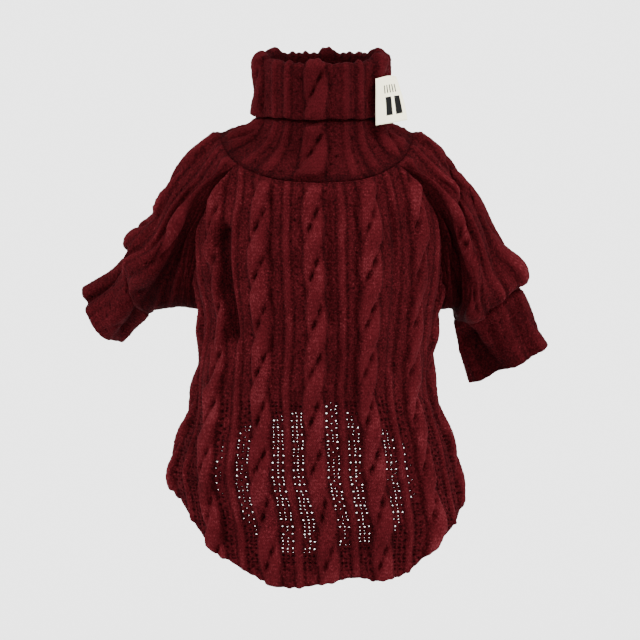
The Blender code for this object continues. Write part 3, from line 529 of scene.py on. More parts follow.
BACK = Panel(0.0, SIDE_SEAM, BACK_HALF, "back", BACK_CORNER)
BELLY = Panel(180.0, 180.0 - SIDE_SEAM, BELLY_HALF, "belly", BELLY_CORNER)


def panel_fold(panel, across, height, top):
    """Rise of a body panel's large folds, fading out at its seams."""
    rise = fold_height(BODY_FOLDS[panel.raglan], across, height)
    to_side = panel.half_pattern - np.abs(across)
    return rise * smooth(0.0, FOLD_TAPER, top - height) * smooth(0.0, FOLD_TAPER, to_side)


def seam_frame(panel, angle, height):
    """Direction across the seam at a panel's top edge, away from the panel, and the edge's mitre."""
    turn = angle - panel.middle
    on_raglan = np.abs(turn) > ON_SEAM * panel.raglan_reach(height)
    on_raglan &= height < neck_height(angle) - NECK_MARGIN
    sign = np.where(turn < 0.0, -1.0, 1.0)
    step = HEIGHT_STEP
    reach_up = panel.middle + sign * panel.raglan_reach(height + step)
    reach_down = panel.middle + sign * panel.raglan_reach(height - step)
    tangent = torso_point(reach_up, height + step) - torso_point(reach_down, height - step)
    normal = torso_normal(angle, height)
    across = torso_point(angle + sign * ANGLE_STEP, height) - torso_point(angle, height)
    away = np.cross(tangent, normal)
    away = unit(away * np.sign((away * across).sum(axis=-1, keepdims=True)))
    upward = unit(torso_point(angle, height + step) - torso_point(angle, height - step))
    near_armpit = smooth(ARMPIT + ARMPIT_BLEND, ARMPIT + ARMPIT_END, height)[..., None]
    away = unit(away * (1.0 - near_armpit) + upward * near_armpit)
    mitre = np.where(on_raglan, read(RAGLAN, "height", "mitre", height), 0.0)[..., None]
    return np.where(on_raglan[..., None], away, upward), mitre


def seam_distance(points, seam):
    """Distance from each point to the nearest point of a seam."""
    flat = points.reshape(-1, 3)
    near = [np.linalg.norm(flat[k:k + CHUNK, None] - seam, axis=-1).min(axis=1)
            for k in range(0, len(flat), CHUNK)]
    return np.concatenate(near).reshape(points.shape[:-1])


def path_points(points, shares):
    """Points at given shares of a path's length."""
    reach = reach_along(points)
    return sampled(points, reach, shares * reach[-1])


def armhole(side, panel):
    """Half of an armhole from the top of the shoulder to the armpit: angles and heights."""
    neck_turns = np.linspace(90.0, panel.corner, NECK_COLUMNS + 1)
    neck = np.stack([neck_turns, neck_height(neck_turns)], axis=1)
    fine = np.linspace(neck[-1, 1], ARMPIT, SEAM_SAMPLES)
    turns = read(RAGLAN, "height", panel.raglan, fine)
    reach = reach_along(torso_point(turns, fine))
    even = np.linspace(0.0, reach[-1], RAGLAN_COLUMNS + 1)[1:]
    seam = sampled(np.stack([turns, fine], axis=1), reach, even)
    half = np.concatenate([neck, seam])
    half[:, 0] *= side
    return half


def armhole_ring(side):
    """The whole armhole: outer points, inner points, normals and shares of each half's length."""
    near = armhole(side, BACK)
    far = armhole(side, BELLY)
    loop = np.concatenate([near, far[-2:0:-1]])
    angle, height = loop[:, 0], loop[:, 1]
    points = torso_point(angle, height)
    normal = torso_normal(angle, height)
    after = unit(np.cross(normal, np.roll(points, -1, axis=0) - points))
    before = unit(np.cross(normal, points - np.roll(points, 1, axis=0)))
    into = (after + before) / (1.0 + (after * before).sum(axis=1, keepdims=True))
    middle = points.mean(axis=0)
    into *= np.sign((into * (middle - points)).sum(axis=1, keepdims=True))
    mitre = read(RAGLAN, "height", "mitre", height)[:, None]
    outer = points + ARMHOLE_GAP * into
    inner = outer - WALL * normal + WALL * mitre * into
    shares = []
    for half in (near, far):
        reach = reach_along(torso_point(half[:, 0], half[:, 1]))
        shares.append(reach / reach[-1])
    return outer, inner, normal, shares


def oval_rings(source, side, shares):
    """Rings of a sleeve or cuff: ovals through their top and lowest points, near halves first."""
    tops, lows = (np.stack([side * source[end + "_out"], source[end + "_y"], source[end + "_z"]],
                           axis=1) for end in ("top", "low"))
    axes = unit(np.gradient(0.5 * (tops + lows), axis=0))
    turn = np.linspace(0.0, np.pi, OVAL_SAMPLES)[:, None]
    rings = []
    for row, (top, low) in enumerate(zip(tops, lows)):
        middle = 0.5 * (top + low)
        major = 0.5 * (top - low)
        minor = unit(np.cross(axes[row], major))
        minor = minor * np.where(minor[1] > 0.0, -1.0, 1.0)
        halves = []
        for share, part, way in zip(shares, ("near", "far"), (1.0, -1.0)):
            curve = middle + major * np.cos(turn) + way * source[part][row] * minor * np.sin(turn)
            halves.append(path_points(curve, share ** source["spread"][row]))
        rings.append(np.concatenate([halves[0], halves[1][-2:0:-1]]))
    return np.stack(rings)


def ring_normals(rings):
    """Outward directions over a tube given as rings of points."""
    around = np.roll(rings, -1, axis=1) - np.roll(rings, 1, axis=1)
    along = np.gradient(rings, axis=0)
    normal = unit(np.cross(along, around))
    outward = rings - rings.mean(axis=1, keepdims=True)
    return normal * np.sign((normal * outward).sum(axis=-1).mean())


def ring_steps(rings):
    """Distance from each point of a ring to the next."""
    return np.linalg.norm(np.roll(rings, -1, axis=1) - rings, axis=-1)


def signed_reach(rings):
    """Distance round each ring from its top line, plus on the near half and minus on the far half."""
    steps = ring_steps(rings)
    reach = np.concatenate([np.zeros((len(rings), 1)), np.cumsum(steps, axis=1)[:, :-1]], axis=1)
    whole = steps.sum(axis=1)[:, None]
    return np.where(np.arange(rings.shape[1]) <= HALF_COLUMNS, reach, reach - whole)


def cuff_rings(name):
    """Rings of a cuff before its knit is raised."""
    side = SIDES[name]
    return oval_rings(CUFFS[name], side, armhole_ring(side)[-1])


def fold_rise(rings, folds, along, fade):
    """Rise of the large folds over the rings of a sleeve or cuff."""
    return fold_height(folds, signed_reach(rings), along[:, None]) * fade[:, None]


# Least distance of a stitch's column from a seam's own.
EXTRA_MARGIN = 0.55

# How light the knit is in its strips, ropes, ribs, grooves, slits and holes, and where that changes;
# the darker strips, grooves, slits and holes are painted shade.
MESH_TONE = 0.71
ROPE_TONE = 1.0
RIB_TONE = 0.97
ROPE_TONE_FADE = 1.6
ROPE_TONE_RISE = (0.4, 2.4)
ROPE_FOOT = 7.1
ROPE_PINCH = 1.3
ROPE_FOOT_SHADE = 0.58
ROPE_FOOT_SHADE_WIDTH = 0.75
RIB_CREST = 0.6
RIB_FOOT = 3.2
RIB_FOOT_SHADE = 0.36
RIB_FOOT_SHADE_WIDTH = 0.6
RIB_BEAD = 0.16
SLIT_SHADE = 0.85
TONE_WANDER = 0.08
HOLE_SHADE = 0.22
PIT_RIM_SHADE = 0.42
PIT_SHADE = 0.10
INSIDE_TONE = 0.5

HASH_WEIGHTS = (12.9898, 78.233, 37.719)
HASH_SCALE = 43758.5453


def hashed(*numbers):
    """A fixed number from 0 to 1 that looks random, for each set of whole numbers."""
    mixed = sum(np.asarray(n) * w for n, w in zip(numbers, HASH_WEIGHTS))
    return np.modf(np.abs(np.sin(mixed) * HASH_SCALE))[0]


def wandering(wave, down, number):
    """Phase of a slow wave down a rope."""
    return wave[0] * down + wave[1] * number


def groove(distance, width):
    """1 in the middle of a groove, fading out beside it."""
    return np.exp(-(distance / width) ** 2)


def rope(off, down, number):
    """Rise of a rope, how deep its slits are, which also sets their painted shade, and the place across
    its upper strand.
    """
    off, down, number = np.broadcast_arrays(off, down, number)
    rise = np.zeros(off.shape)
    place = np.array(off, float)
    for turn in (0.0, np.pi):
        phase = np.pi * down / CROSSING + turn
        uneven = np.sin(wandering(STRAND_WAVE, down, number) + turn)
        uneven = uneven + np.sin(wandering(ROPE_WAVE, down, number))
        full = 1.0 + FULLNESS * uneven
        half = STRAND_HALF * full * (1.0 + STRAND_SWELL * np.clip(np.sin(phase), 0.0, 1.0))
        middle = STRAND_SWAY * np.sin(0.5 * np.pi * np.cos(phase))
        inside = np.clip(np.abs(off - middle) / half, 0.0, 1.0)
        height = ROPE_BASE + STRAND_LIFT * np.sin(phase)
        height = height + STRAND_RISE * full * np.sqrt(1.0 - inside ** 2)
        upper = (inside < 1.0) & (height > rise)
        rise = np.where(upper, height, rise)
        place = np.where(upper, off - middle, place)
    rise *= smooth(ROPE_EDGE, ROPE_EDGE - ROPE_FADE, np.abs(off))
    dark = rope_slits(off, down, number)
    return rise - SLIT_DEPTH * dark, dark, place


def rope_slits(off, down, number):
    """How deep each place lies in the slits beside the crossings, 0 to 1."""
    crossing = np.round(down / CROSSING)
    local = down - CROSSING * crossing
    length = np.hypot(SLIT_ACROSS, SLIT_DOWN)
    lean_off, lean_down = SLIT_ACROSS / length, -SLIT_DOWN / length
    dark = np.zeros(off.shape)
    for way in (1.0, -1.0):
        to_off = off - way * SLIT_ACROSS
        to_down = local + way * SLIT_DOWN
        along = to_off * lean_off + to_down * lean_down
        aside = to_off * lean_down - to_down * lean_off
        seeds = [n + seed for n, seed in zip((crossing, number, way), SLIT_SEEDS)]
        depth = SLIT_LEAST + SLIT_SPREAD * hashed(*seeds)
        narrow = (aside / SLIT_HALF_WIDTH) ** 2 + (along / SLIT_HALF_LENGTH) ** 2
        dark = np.maximum(dark, depth * np.exp(-narrow))
    return dark


class Pattern:
    """A repeat of the knit: zones side by side from a rope's left edge, each with its steps."""

    def __init__(self, zones):
        self.repeat = sum(width for _, width, _ in zones)
        places = []
        self.kinds = []
        self.cells = []
        self.ribs = []
        start = -0.5 * zones[0][1]
        for kind, width, steps in zones:
            if kind == "rib":
                self.ribs.append(start + 0.5 * width)
            for step in range(steps):
                places.append(start + width * step / steps)
                self.kinds.append(kind)
                self.cells.append((step, steps))
            start += width
        self.local = np.array(places)

    def place(self, slot):
        """Where a slot lies across the knit."""
        repeats, step = divmod(slot, len(self.local))
        return repeats * self.repeat + self.local[step]

    def columns(self, low, high, extra=()):
        """Places across from low to high with their slots; extra places have none."""
        count = len(self.local)
        first = int(np.floor(low / self.repeat)) - 1
        last = int(np.ceil(high / self.repeat)) + 1
        found = []
        for slot in range(first * count, last * count):
            place = self.place(slot)
            crowded = any(abs(place - e) < EXTRA_MARGIN for e in extra)
            if low <= place <= high and not crowded:
                found.append((place, slot))
        found += [(e, None) for e in extra]
        found.sort(key=lambda item: item[0])
        return np.array([f[0] for f in found]), [f[1] for f in found]

    def in_mesh(self, slot):
        """Whether a slot lies on a mesh strip or on its edge."""
        if slot is None:
            return False
        count = len(self.kinds)
        return "mesh" in (self.kinds[slot % count], self.kinds[(slot - 1) % count])

    def hole_cell(self, slot):
        """For a mesh cell's middle: its number, the cells in its strip, rope number and side."""
        if slot is None or self.kinds[slot % len(self.kinds)] != "mesh":
            return None
        step, steps = self.cells[slot % len(self.kinds)]
        if step % 2 == 0:
            return None
        place = self.place(slot)
        number = int(np.round(place / self.repeat))
        side = 1 if place > number * self.repeat else -1
        return step // 2, steps // 2, number, side

    def relief(self, across, down):
        """Rise, tone with its painted shade, and stitch coordinates of the knit at places across and
        down it.
        """
        across, down = np.broadcast_arrays(np.asarray(across, float), np.asarray(down, float))
        number = np.round(across / self.repeat)
        off = across - number * self.repeat
        rise, dark, place = rope(off, down, number)
        # The open strips are painted darker than the ropes, and the ropes lighter the higher they rise:
        # painted shade.
        on_rope = (ROPE_TONE - MESH_TONE) * smooth(ROPE_EDGE, ROPE_EDGE - ROPE_TONE_FADE, np.abs(off))
        tone_and_shade = MESH_TONE + on_rope * smooth(*ROPE_TONE_RISE, rise + SLIT_DEPTH * dark)
        local = (across - self.local[0]) % self.repeat + self.local[0]
        for middle in self.ribs:
            near = np.abs(local - middle)
            swell = smooth(RIB_HALF, 0.0, near)
            beads = 1.0 + RIB_BEAD * np.cos(2.0 * np.pi * down / STITCH_HEIGHT)
            rise = np.maximum(rise, RIB_RISE * swell * beads)
            tone_and_shade = np.maximum(tone_and_shade, blend(MESH_TONE, RIB_TONE, smooth(RIB_HALF, RIB_CREST, near)))
            place = np.where(near < RIB_HALF, local - middle, place)
            # Painted shade in the groove at each rib's foot.
            tone_and_shade = tone_and_shade * (1.0 - RIB_FOOT_SHADE * groove(near - RIB_FOOT, RIB_FOOT_SHADE_WIDTH))
        # Painted shade in the groove at the rope's foot, and in its slits.
        foot = ROPE_FOOT - ROPE_PINCH * np.sin(np.pi * down / CROSSING) ** 2
        tone_and_shade = tone_and_shade * (1.0 - ROPE_FOOT_SHADE * groove(np.abs(off) - foot, ROPE_FOOT_SHADE_WIDTH))
        tone_and_shade = tone_and_shade * (1.0 - SLIT_SHADE * np.clip(dark, 0.0, 1.0))
        tone_and_shade = tone_and_shade * (1.0 + TONE_WANDER * np.sin(wandering(TONE_WAVE, down, number)))
        return rise, tone_and_shade, place / STITCH_WIDTH, down / STITCH_HEIGHT


BODY_KNIT = Pattern((("rope", 12.2, 10), ("mesh", 8.3, 6), ("rib", 3.8, 4), ("mesh", 8.3, 6)))
COLLAR_KNIT = Pattern((("rope", 13.9, 12), ("mesh", 7.6, 6), ("rib", 3.7, 4), ("mesh", 5.4, 4),
                       ("rib", 3.7, 4), ("mesh", 7.6, 6)))

# Pinholes: large ones every fourth row, small ones half way between. A wide strip has three columns.
WIDE_STRIPS = ((-1, 1), (0, -1), (1, -1), (1, 1), (-2, -1))
LARGE_HOLE = (0.26, 0.50)
SMALL_HOLE = (0.14, 0.33)
STRAY_HOLES = 0.42
LARGE_HOLE_ROWS = 4
MISSED_HOLES = 0.10
MISSED_PITS = 0.88
PIT_SIZE = 0.6
HOLE_JITTER = 0.30
RIM_SINK = 0.32
PIT_DEPTH = 1.5
EDGE_OF_CELL = 0.86
MESH_WALL = 1.2
ROUGH_YARN = 0.10
SEED = 11
NOT_THROUGH = (0.0, 0.0)
random = np.random.default_rng(SEED)


# One column of a wall from top to bottom. Rows number its stitches, keys fall along it, marks are
# the knit's tone with its painted shade, and its stitch coordinates, and kept tells which of its inner
# points are used.
Column = namedtuple("Column", "slot rows keys outer inner marks kept")


def plain_column(keys, outer, inner, marks):
    """A column without a pattern, with all of its inner points."""
    return Column(None, [None] * len(keys), keys, outer, inner, marks, np.ones(len(keys), bool))


class Hole:
    """A pinhole at a column and row, with its half sizes and its shift, as shares of a cell."""

    def __init__(self, column, row, size, through):
        self.column = column
        self.row = row
        self.reach = random.uniform(*size, 2) * (1.0 if through else PIT_SIZE)
        self.shift = random.uniform(-HOLE_JITTER, HOLE_JITTER, 2)
        self.through = through


def mesh_holes(pattern, columns, through_zone):
    """Pinholes of the mesh strips of a wall, cut right through between two heights."""
    found = []
    for index, column in enumerate(columns):
        cell = pattern.hole_cell(column.slot)
        if cell is None:
            continue
        number, cells, rope_number, side = cell
        wide = cells < 3 or (rope_number, side) in WIDE_STRIPS
        middle = cells == 3 and number == 1
        for row, height in zip(column.rows, column.keys):
            if row is None or row % 2:
                continue
            stray = random.random() < STRAY_HOLES
            large_row = row % LARGE_HOLE_ROWS == 0
            if large_row and (wide or not middle):
                size = LARGE_HOLE
            elif stray or (middle and not large_row):
                size = SMALL_HOLE
            else:
                continue
            through = through_zone[0] < height < through_zone[1]
            if random.random() < (MISSED_HOLES if through else MISSED_PITS):
                continue
            found.append(Hole(index, row, size, through))
    return found


RING_STEPS = ((-1, -1), (0, -1), (1, -1), (1, 0), (1, 1), (0, 1), (-1, 1), (-1, 0))
CELL_HALF = (1.25, ROW)


class Wall:
    """A closed cloth wall made from columns of outer and inner points."""

    def __init__(self, columns, holes=(), closed=False):
        self.points = []
        self.marks = []
        self.faces = []
        self.centres = set()
        outer = [self.add(c.outer, c.marks) for c in columns]
        inner = []
        inner_keys = []
        inner_maps = []
        for column in columns:
            marks = column.marks[column.kept].copy()
            marks[:, 0] = INSIDE_TONE
            inner.append(self.add(column.inner[column.kept], marks))
            inner_keys.append(column.keys[column.kept])
            kept_rows = [r for r, k in zip(column.rows, column.kept) if k]
            inner_maps.append(dict(zip(kept_rows, inner[-1])))
        outer_maps = [dict(zip(c.rows, ids)) for c, ids in zip(columns, outer)]
        slots = [c.slot for c in columns]
        for hole in holes:
            self.cut(hole, slots, outer_maps, inner_maps)
        count = len(columns)
        for k in range(count if closed else count - 1):
            n = (k + 1) % count
            self.strip(outer[k], columns[k].keys, outer[n], columns[n].keys)
            self.strip(inner[n], inner_keys[n], inner[k], inner_keys[k])
            for end in (0, -1):
                self.faces.append((outer[k][end], outer[n][end], inner[n][end], inner[k][end]))
        if not closed:
            self.strip(outer[0], columns[0].keys, inner[0], inner_keys[0])
            self.strip(inner[-1], inner_keys[-1], outer[-1], columns[-1].keys)

    def add(self, points, marks):
        start = len(self.points)
        self.points.extend(points)
        self.marks.extend(marks)
        return list(range(start, len(self.points)))

    def face(self, *corners):
        kept = [c for c, before in zip(corners, corners[-1:] + corners[:-1]) if c != before]
        if len(kept) > 2 and not self.centres.intersection(kept):
            self.faces.append(tuple(kept))

    def strip(self, left, left_keys, right, right_keys):
        """Faces between two columns of points, both running down by their keys."""
        i = j = 0
        while i < len(left) - 1 or j < len(right) - 1:
            more_left = i < len(left) - 1
            more_right = j < len(right) - 1
            both = more_left and more_right
            level = both and abs(left_keys[i + 1] - right_keys[j + 1]) < SAME_LEVEL
            last = both and i == len(left) - 2 and j == len(right) - 2
            if level or last:
                self.face(left[i], left[i + 1], right[j + 1], right[j])
                i += 1
                j += 1
            elif not more_right or (more_left and left_keys[i + 1] > right_keys[j + 1]):
                self.face(left[i], left[i + 1], right[j])
                i += 1
            else:
                self.face(left[i], right[j + 1], right[j])
                j += 1

    def cut(self, hole, slots, outer_maps, inner_maps):
        """Open a pinhole where the four cells round it are whole: right through, or as a pit."""
        c = hole.column
        if c < 1 or c + 1 >= len(slots) or None in slots[c - 1:c + 2]:
            return
        if slots[c + 1] - slots[c - 1] != 2:
            return
        around = [(c + step, hole.row + down) for step, down in RING_STEPS]
        if any(row not in outer_maps[k] for k, row in around):
            return
        ring = [outer_maps[k][row] for k, row in around]
        centre = outer_maps[c][hole.row]
        if centre in self.centres or self.centres.intersection(ring):
            return
        through = hole.through and all(row in inner_maps[k] for k, row in around)
        through = through and hole.row in inner_maps[c]
        # The rims of holes and pits are painted dark: painted shade.
        rim = self.rim(hole, ring, centre, HOLE_SHADE if through else PIT_RIM_SHADE)
        self.centres.add(centre)
        if through:
            back_ring = [inner_maps[k][row] for k, row in around]
            back_centre = inner_maps[c][hole.row]
            self.sink(rim, centre, self.points[back_centre])
            back = self.rim(hole, back_ring, back_centre, HOLE_SHADE)
            self.centres.add(back_centre)
            self.band(rim, back)
            self.band(back, back_ring)
        else:
            normal = self.outward(ring)
            bottom_point = self.points[centre] - PIT_DEPTH * normal
            self.sink(rim, centre, bottom_point)
            # The pit's bottom is painted dark: painted shade of a deep hole.
            mark = np.array(self.marks[centre])
            mark[0] = PIT_SHADE
            bottom = self.add([bottom_point], [mark])[0]
            for k, vertex in enumerate(rim):
                self.faces.append((vertex, rim[(k + 1) % len(rim)], bottom))
        self.band(ring, rim)

    def rim(self, hole, ring, centre, tone_and_shade):
        """Eight points round a hole, on the lines from its middle to the corners of its cells."""
        middle = self.points[centre]
        across = 0.5 * (self.points[ring[3]] - self.points[ring[7]])
        down = 0.5 * (self.points[ring[5]] - self.points[ring[1]])
        middle = middle + across * hole.shift[0] + down * hole.shift[1]
        points = []
        for step, fall in RING_STEPS:
            turn = np.hypot(step * CELL_HALF[0], fall * CELL_HALF[1])
            share_across = min(hole.reach[0] * step / turn, EDGE_OF_CELL)
            share_down = min(hole.reach[1] * fall / turn, EDGE_OF_CELL)
            points.append(middle + across * share_across + down * share_down)
        marks = [np.array(self.marks[centre]) for _ in ring]
        for mark in marks:
            mark[0] = tone_and_shade
        return self.add(points, marks)

    def sink(self, rim, centre, towards):
        """Move a hole's rim into the wall a little, so that the yarn round it looks round."""
        way = np.asarray(towards) - self.points[centre]
        way = way / np.linalg.norm(way)
        for vertex in rim:
            self.points[vertex] = self.points[vertex] + RIM_SINK * way

    def outward(self, ring):
        """Direction out of the wall at a ring of its outer points."""
        across = self.points[ring[3]] - self.points[ring[7]]
        down = self.points[ring[5]] - self.points[ring[1]]
        normal = np.cross(down, across)
        return normal / np.linalg.norm(normal)

    def band(self, first, second):
        """Faces between two closed rings with the same number of points."""
        for k in range(len(first)):
            n = (k + 1) % len(first)
            self.faces.append((first[k], first[n], second[n], second[k]))

    def made(self, name, material):
        return made_mesh(name, self.points, self.faces, self.marks, material)


def placed(name, data):
    """A new object in the scene."""
    made = bpy.data.objects.new(name, data)
    bpy.context.scene.collection.objects.link(made)
    return made


def made_mesh(name, points, faces, marks, material):
    """A smooth mesh object from points in millimetres, with its tone and painted shade, and its stitch
    coordinates.
    """
    points = np.asarray(points)
    marks = np.asarray(marks)
    used = np.unique([vertex for face in faces for vertex in face])
    place = np.full(len(points), -1)
    place[used] = np.arange(len(used))
    data = bpy.data.meshes.new(name)
    data.from_pydata((points[used] * MM).tolist(), [], [place[list(f)].tolist() for f in faces])
    shell = bmesh.new()
    shell.from_mesh(data)
    bmesh.ops.recalc_face_normals(shell, faces=shell.faces)
    shell.to_mesh(data)
    shell.free()
    data.shade_smooth()
    kept = marks[used]
    tone_and_shade = data.attributes.new("tone_and_shade", "FLOAT", "POINT")
    tone_and_shade.data.foreach_set("value", kept[:, 0].astype(np.float32))
    corners = np.empty(len(data.loops), np.int32)
    data.loops.foreach_get("vertex_index", corners)
    layer = data.uv_layers.new(name="stitches")
    layer.data.foreach_set("uv", kept[corners, 1:3].astype(np.float32).ravel())
    data.materials.append(material)
    return placed(name, data)


def seam_sink(distance):
    """How deep the cloth lies at a distance from a seam."""
    return SEAM_SINK * (1.0 - smooth(0.0, SEAM_TAPER, distance))


def pucker(across, down):
    """Small gathers below the neck seam."""
    wander = PUCKER_WANDER * np.sin(PUCKER_WANDER_RATE * across)
    wave = np.sin(2.0 * np.pi * across / PUCKER_LENGTH + wander)
    return PUCKER_HEIGHT * wave * groove(down, PUCKER_REACH) * smooth(0.0, PUCKER_START, down)


def fold_shade(fold):
    """How much darker the cloth is painted in a trough and lighter on a ridge: painted shade and
    painted light.
    """
    return 1.0 + FOLD_SHADE * np.clip(fold, -FOLD_SHADE_DEPTH, 0.5 * FOLD_SHADE_DEPTH)


# The inner side has every fourth row, and all of them where pinholes go right through.
ROW_MARGIN = 0.45
EDGE_STEP = 4
THROUGH_ZONE = (-246.0, -142.0)
SWAY_WIDTH = 0.55
SWAY_FADE = 12.0
SWAY_WAVE = (0.047, 0.09)
WALL_RISE = (0.2, 1.2)
# How light the knit is painted where it lies flat, at seams, in troughs and under the arms: painted
# shade.
FLAT_SHADE = 0.75


def edge_rows(names):
    """Which rows of a column the plain inner side keeps."""
    return np.array([n is None or n % EDGE_STEP == 0 for n in names])


def lattice_rows(top, bottom):
    """Whole rows of knitting between two heights."""
    first = int(np.ceil((FIRST_CROSSING - top) / ROW + ROW_MARGIN))
    last = int(np.floor((FIRST_CROSSING - bottom) / ROW - ROW_MARGIN))
    return list(range(first, last + 1))


def swayed(panel, across, height, top):
    """Place across a panel with the small wander that knitted ropes have, fading out at its seams."""
    to_side = panel.half_pattern - np.abs(across)
    free = smooth(0.0, SWAY_FADE, top - height) * smooth(0.0, SWAY_FADE, to_side)
    return across + free * SWAY_WIDTH * np.sin(wandering(SWAY_WAVE, height, across))


def panel_columns(panel, pattern, through_zone):
    """Columns of a body panel, from the neck or raglan seam to the hem."""
    edge = panel.half_pattern - SEAM_GAP
    places, slots = pattern.columns(-edge, edge, panel.corners() + [-edge, edge])
    tops = panel.top(places)
    bottoms = panel.bottom(places)
    rows = [lattice_rows(t, b) for t, b in zip(tops, bottoms)]
    keys = [np.array([t] + [FIRST_CROSSING - ROW * r for r in found] + [b])
            for t, b, found in zip(tops, bottoms, rows)]
    sizes = [len(k) for k in keys]
    starts = np.concatenate([[0], np.cumsum(sizes)])
    height = np.concatenate(keys)
    across = np.repeat(places, sizes)
    top = np.repeat(tops, sizes)
    outer, inner, marks = panel_points(panel, pattern, across, height, top)
    angle = panel.angle(places, tops)
    away, mitre = seam_frame(panel, angle, tops)
    columns = []
    for k, slot in enumerate(slots):
        span = slice(starts[k], starts[k + 1])
        column_outer = outer[span]
        column_inner = inner[span]
        column_outer[0] -= SEAM_GAP * away[k]
        column_inner[0] += (WALL * mitre[k] - SEAM_GAP) * away[k]
        names = [None] + rows[k] + [None]
        kept = edge_rows(names)
        if pattern.in_mesh(slot):
            kept |= (through_zone[0] < keys[k]) & (keys[k] < through_zone[1])
        columns.append(Column(slot, names, keys[k], column_outer, column_inner, marks[span], kept))
    return columns


def panel_points(panel, pattern, across, height, top):
    """Outer and inner points of a panel and the marks of its knit."""
    angle = panel.angle(swayed(panel, across, height, top), height)
    normal = torso_normal(angle, height)
    fold = panel_fold(panel, across, height, top)
    plain = torso_point(angle, height)
    to_side = panel.half_pattern - np.abs(across)
    to_seam = np.minimum(top - height, to_side)
    near = height > ARMPIT - 2.0 * RAGLAN_TAPER
    to_seam[near] = np.minimum(to_seam[near], seam_distance(plain[near], panel.seams))
    fade = smooth(0.0, SEAM_TAPER, top - height) * smooth(0.0, SEAM_TAPER, to_side)
    fade[near] *= smooth(0.0, RAGLAN_TAPER, to_seam[near])
    base = plain + normal * (fold - seam_sink(to_seam) + pucker(across, top - height))[:, None]
    rise, tone_and_shade, u, v = pattern.relief(across, FIRST_CROSSING - height)
    fade = fade * (1.0 - HOLLOW_CALM * smooth(0.0, -FOLD_SHADE_DEPTH, fold))
    rough = random.normal(0.0, ROUGH_YARN, len(height))
    outer = base + normal * ((rise + rough) * fade)[:, None]
    depth = blend(MESH_WALL, WALL, smooth(*WALL_RISE, rise))
    inner = base - normal * depth[:, None]
    # The knit is painted darker where it lies flat and in troughs and lighter on ridges: painted shade
    # and painted light.
    marks = np.stack([tone_and_shade * blend(FLAT_SHADE, 1.0, fade) * fold_shade(fold), u, v], axis=1)
    return outer, inner, marks


def panel_piece(name, panel, through_zone, material):
    columns = panel_columns(panel, BODY_KNIT, through_zone)
    holes = mesh_holes(BODY_KNIT, columns, through_zone)
    return Wall(columns, holes).made(name, material)


FACING_STEP = 1.6
FACING_ROWS = 16


def facing_piece(material):
    """The turned-up layer inside the back hem."""
    reach = BACK.half_pattern - FACING_SIDE
    places = np.linspace(-reach, reach, int(2.0 * reach / FACING_STEP))
    bottoms = BACK.bottom(places) + FACING_LIFT
    columns = []
    for across, bottom in zip(places, bottoms):
        width = float(read(FACING, "angle", "width", np.abs(BACK.angle(across, bottom))))
        heights = np.linspace(bottom + width, bottom, FACING_ROWS)
        angle = BACK.angle(across, heights)
        normal = torso_normal(angle, heights)
        sunk = panel_fold(BACK, across, heights, ARMPIT) - WALL - FACING_GAP
        outer = torso_point(angle, heights) + normal * sunk[:, None]
        thick = FACING_WALL + random.normal(0.0, ROUGH_YARN, FACING_ROWS)
        inner = outer - normal * thick[:, None]
        tone_and_shade = np.full(FACING_ROWS, INSIDE_TONE)
        u = np.full(FACING_ROWS, across / STITCH_WIDTH)
        marks = np.stack([tone_and_shade, u, -heights / STITCH_HEIGHT], axis=1)
        columns.append(plain_column(np.linspace(1.0, 0.0, FACING_ROWS), outer, inner, marks))
    return Wall(columns).made("facing_knit", material)


def halves_of(base, values):
    """A tube's near and far halves, each with its reach from the top line and its values, by row."""
    reach = signed_reach(base)
    near = slice(HALF_COLUMNS + 1)
    far = np.concatenate([[0], np.arange(base.shape[1] - 1, HALF_COLUMNS - 1, -1)])
    low_line = (ring_steps(base).sum(axis=1) - reach[:, HALF_COLUMNS])[:, None]
    far_reach = np.concatenate([reach[:, :1], -reach[:, far[1:-1]], low_line], axis=1)
    return (reach[:, near], values[:, near]), (far_reach, values[:, far])


def tube_rows(length):
    """Places along a tube, a row of knitting apart, with its end."""
    count = int(length / ROW - ROW_MARGIN)
    return np.concatenate([ROW * np.arange(count + 1), [length]])


def tube_column(half, place, limit, stretch, along):
    """One column along a tube, which ends at the tube's end or on the underarm line."""
    reach, values = half
    inside = limit > place - SAME_LEVEL
    end = len(along) if inside.all() else int(np.argmin(inside))
    found = [[np.interp(place * stretch[row], reach[row], channel) for channel in values[row].T]
             for row in range(end)]
    keys = list(along[:end])
    names = [None] + list(range(1, end))
    if end == len(along):
        names[-1] = None
    else:
        share = (limit[end - 1] - place) / (limit[end - 1] - limit[end])
        if share > ON_LINE:
            found.append(blend(values[end - 1, -1], values[end, -1], share))
            keys.append(blend(along[end - 1], along[end], share))
            names.append(None)
    return np.array(found), np.array(keys), names


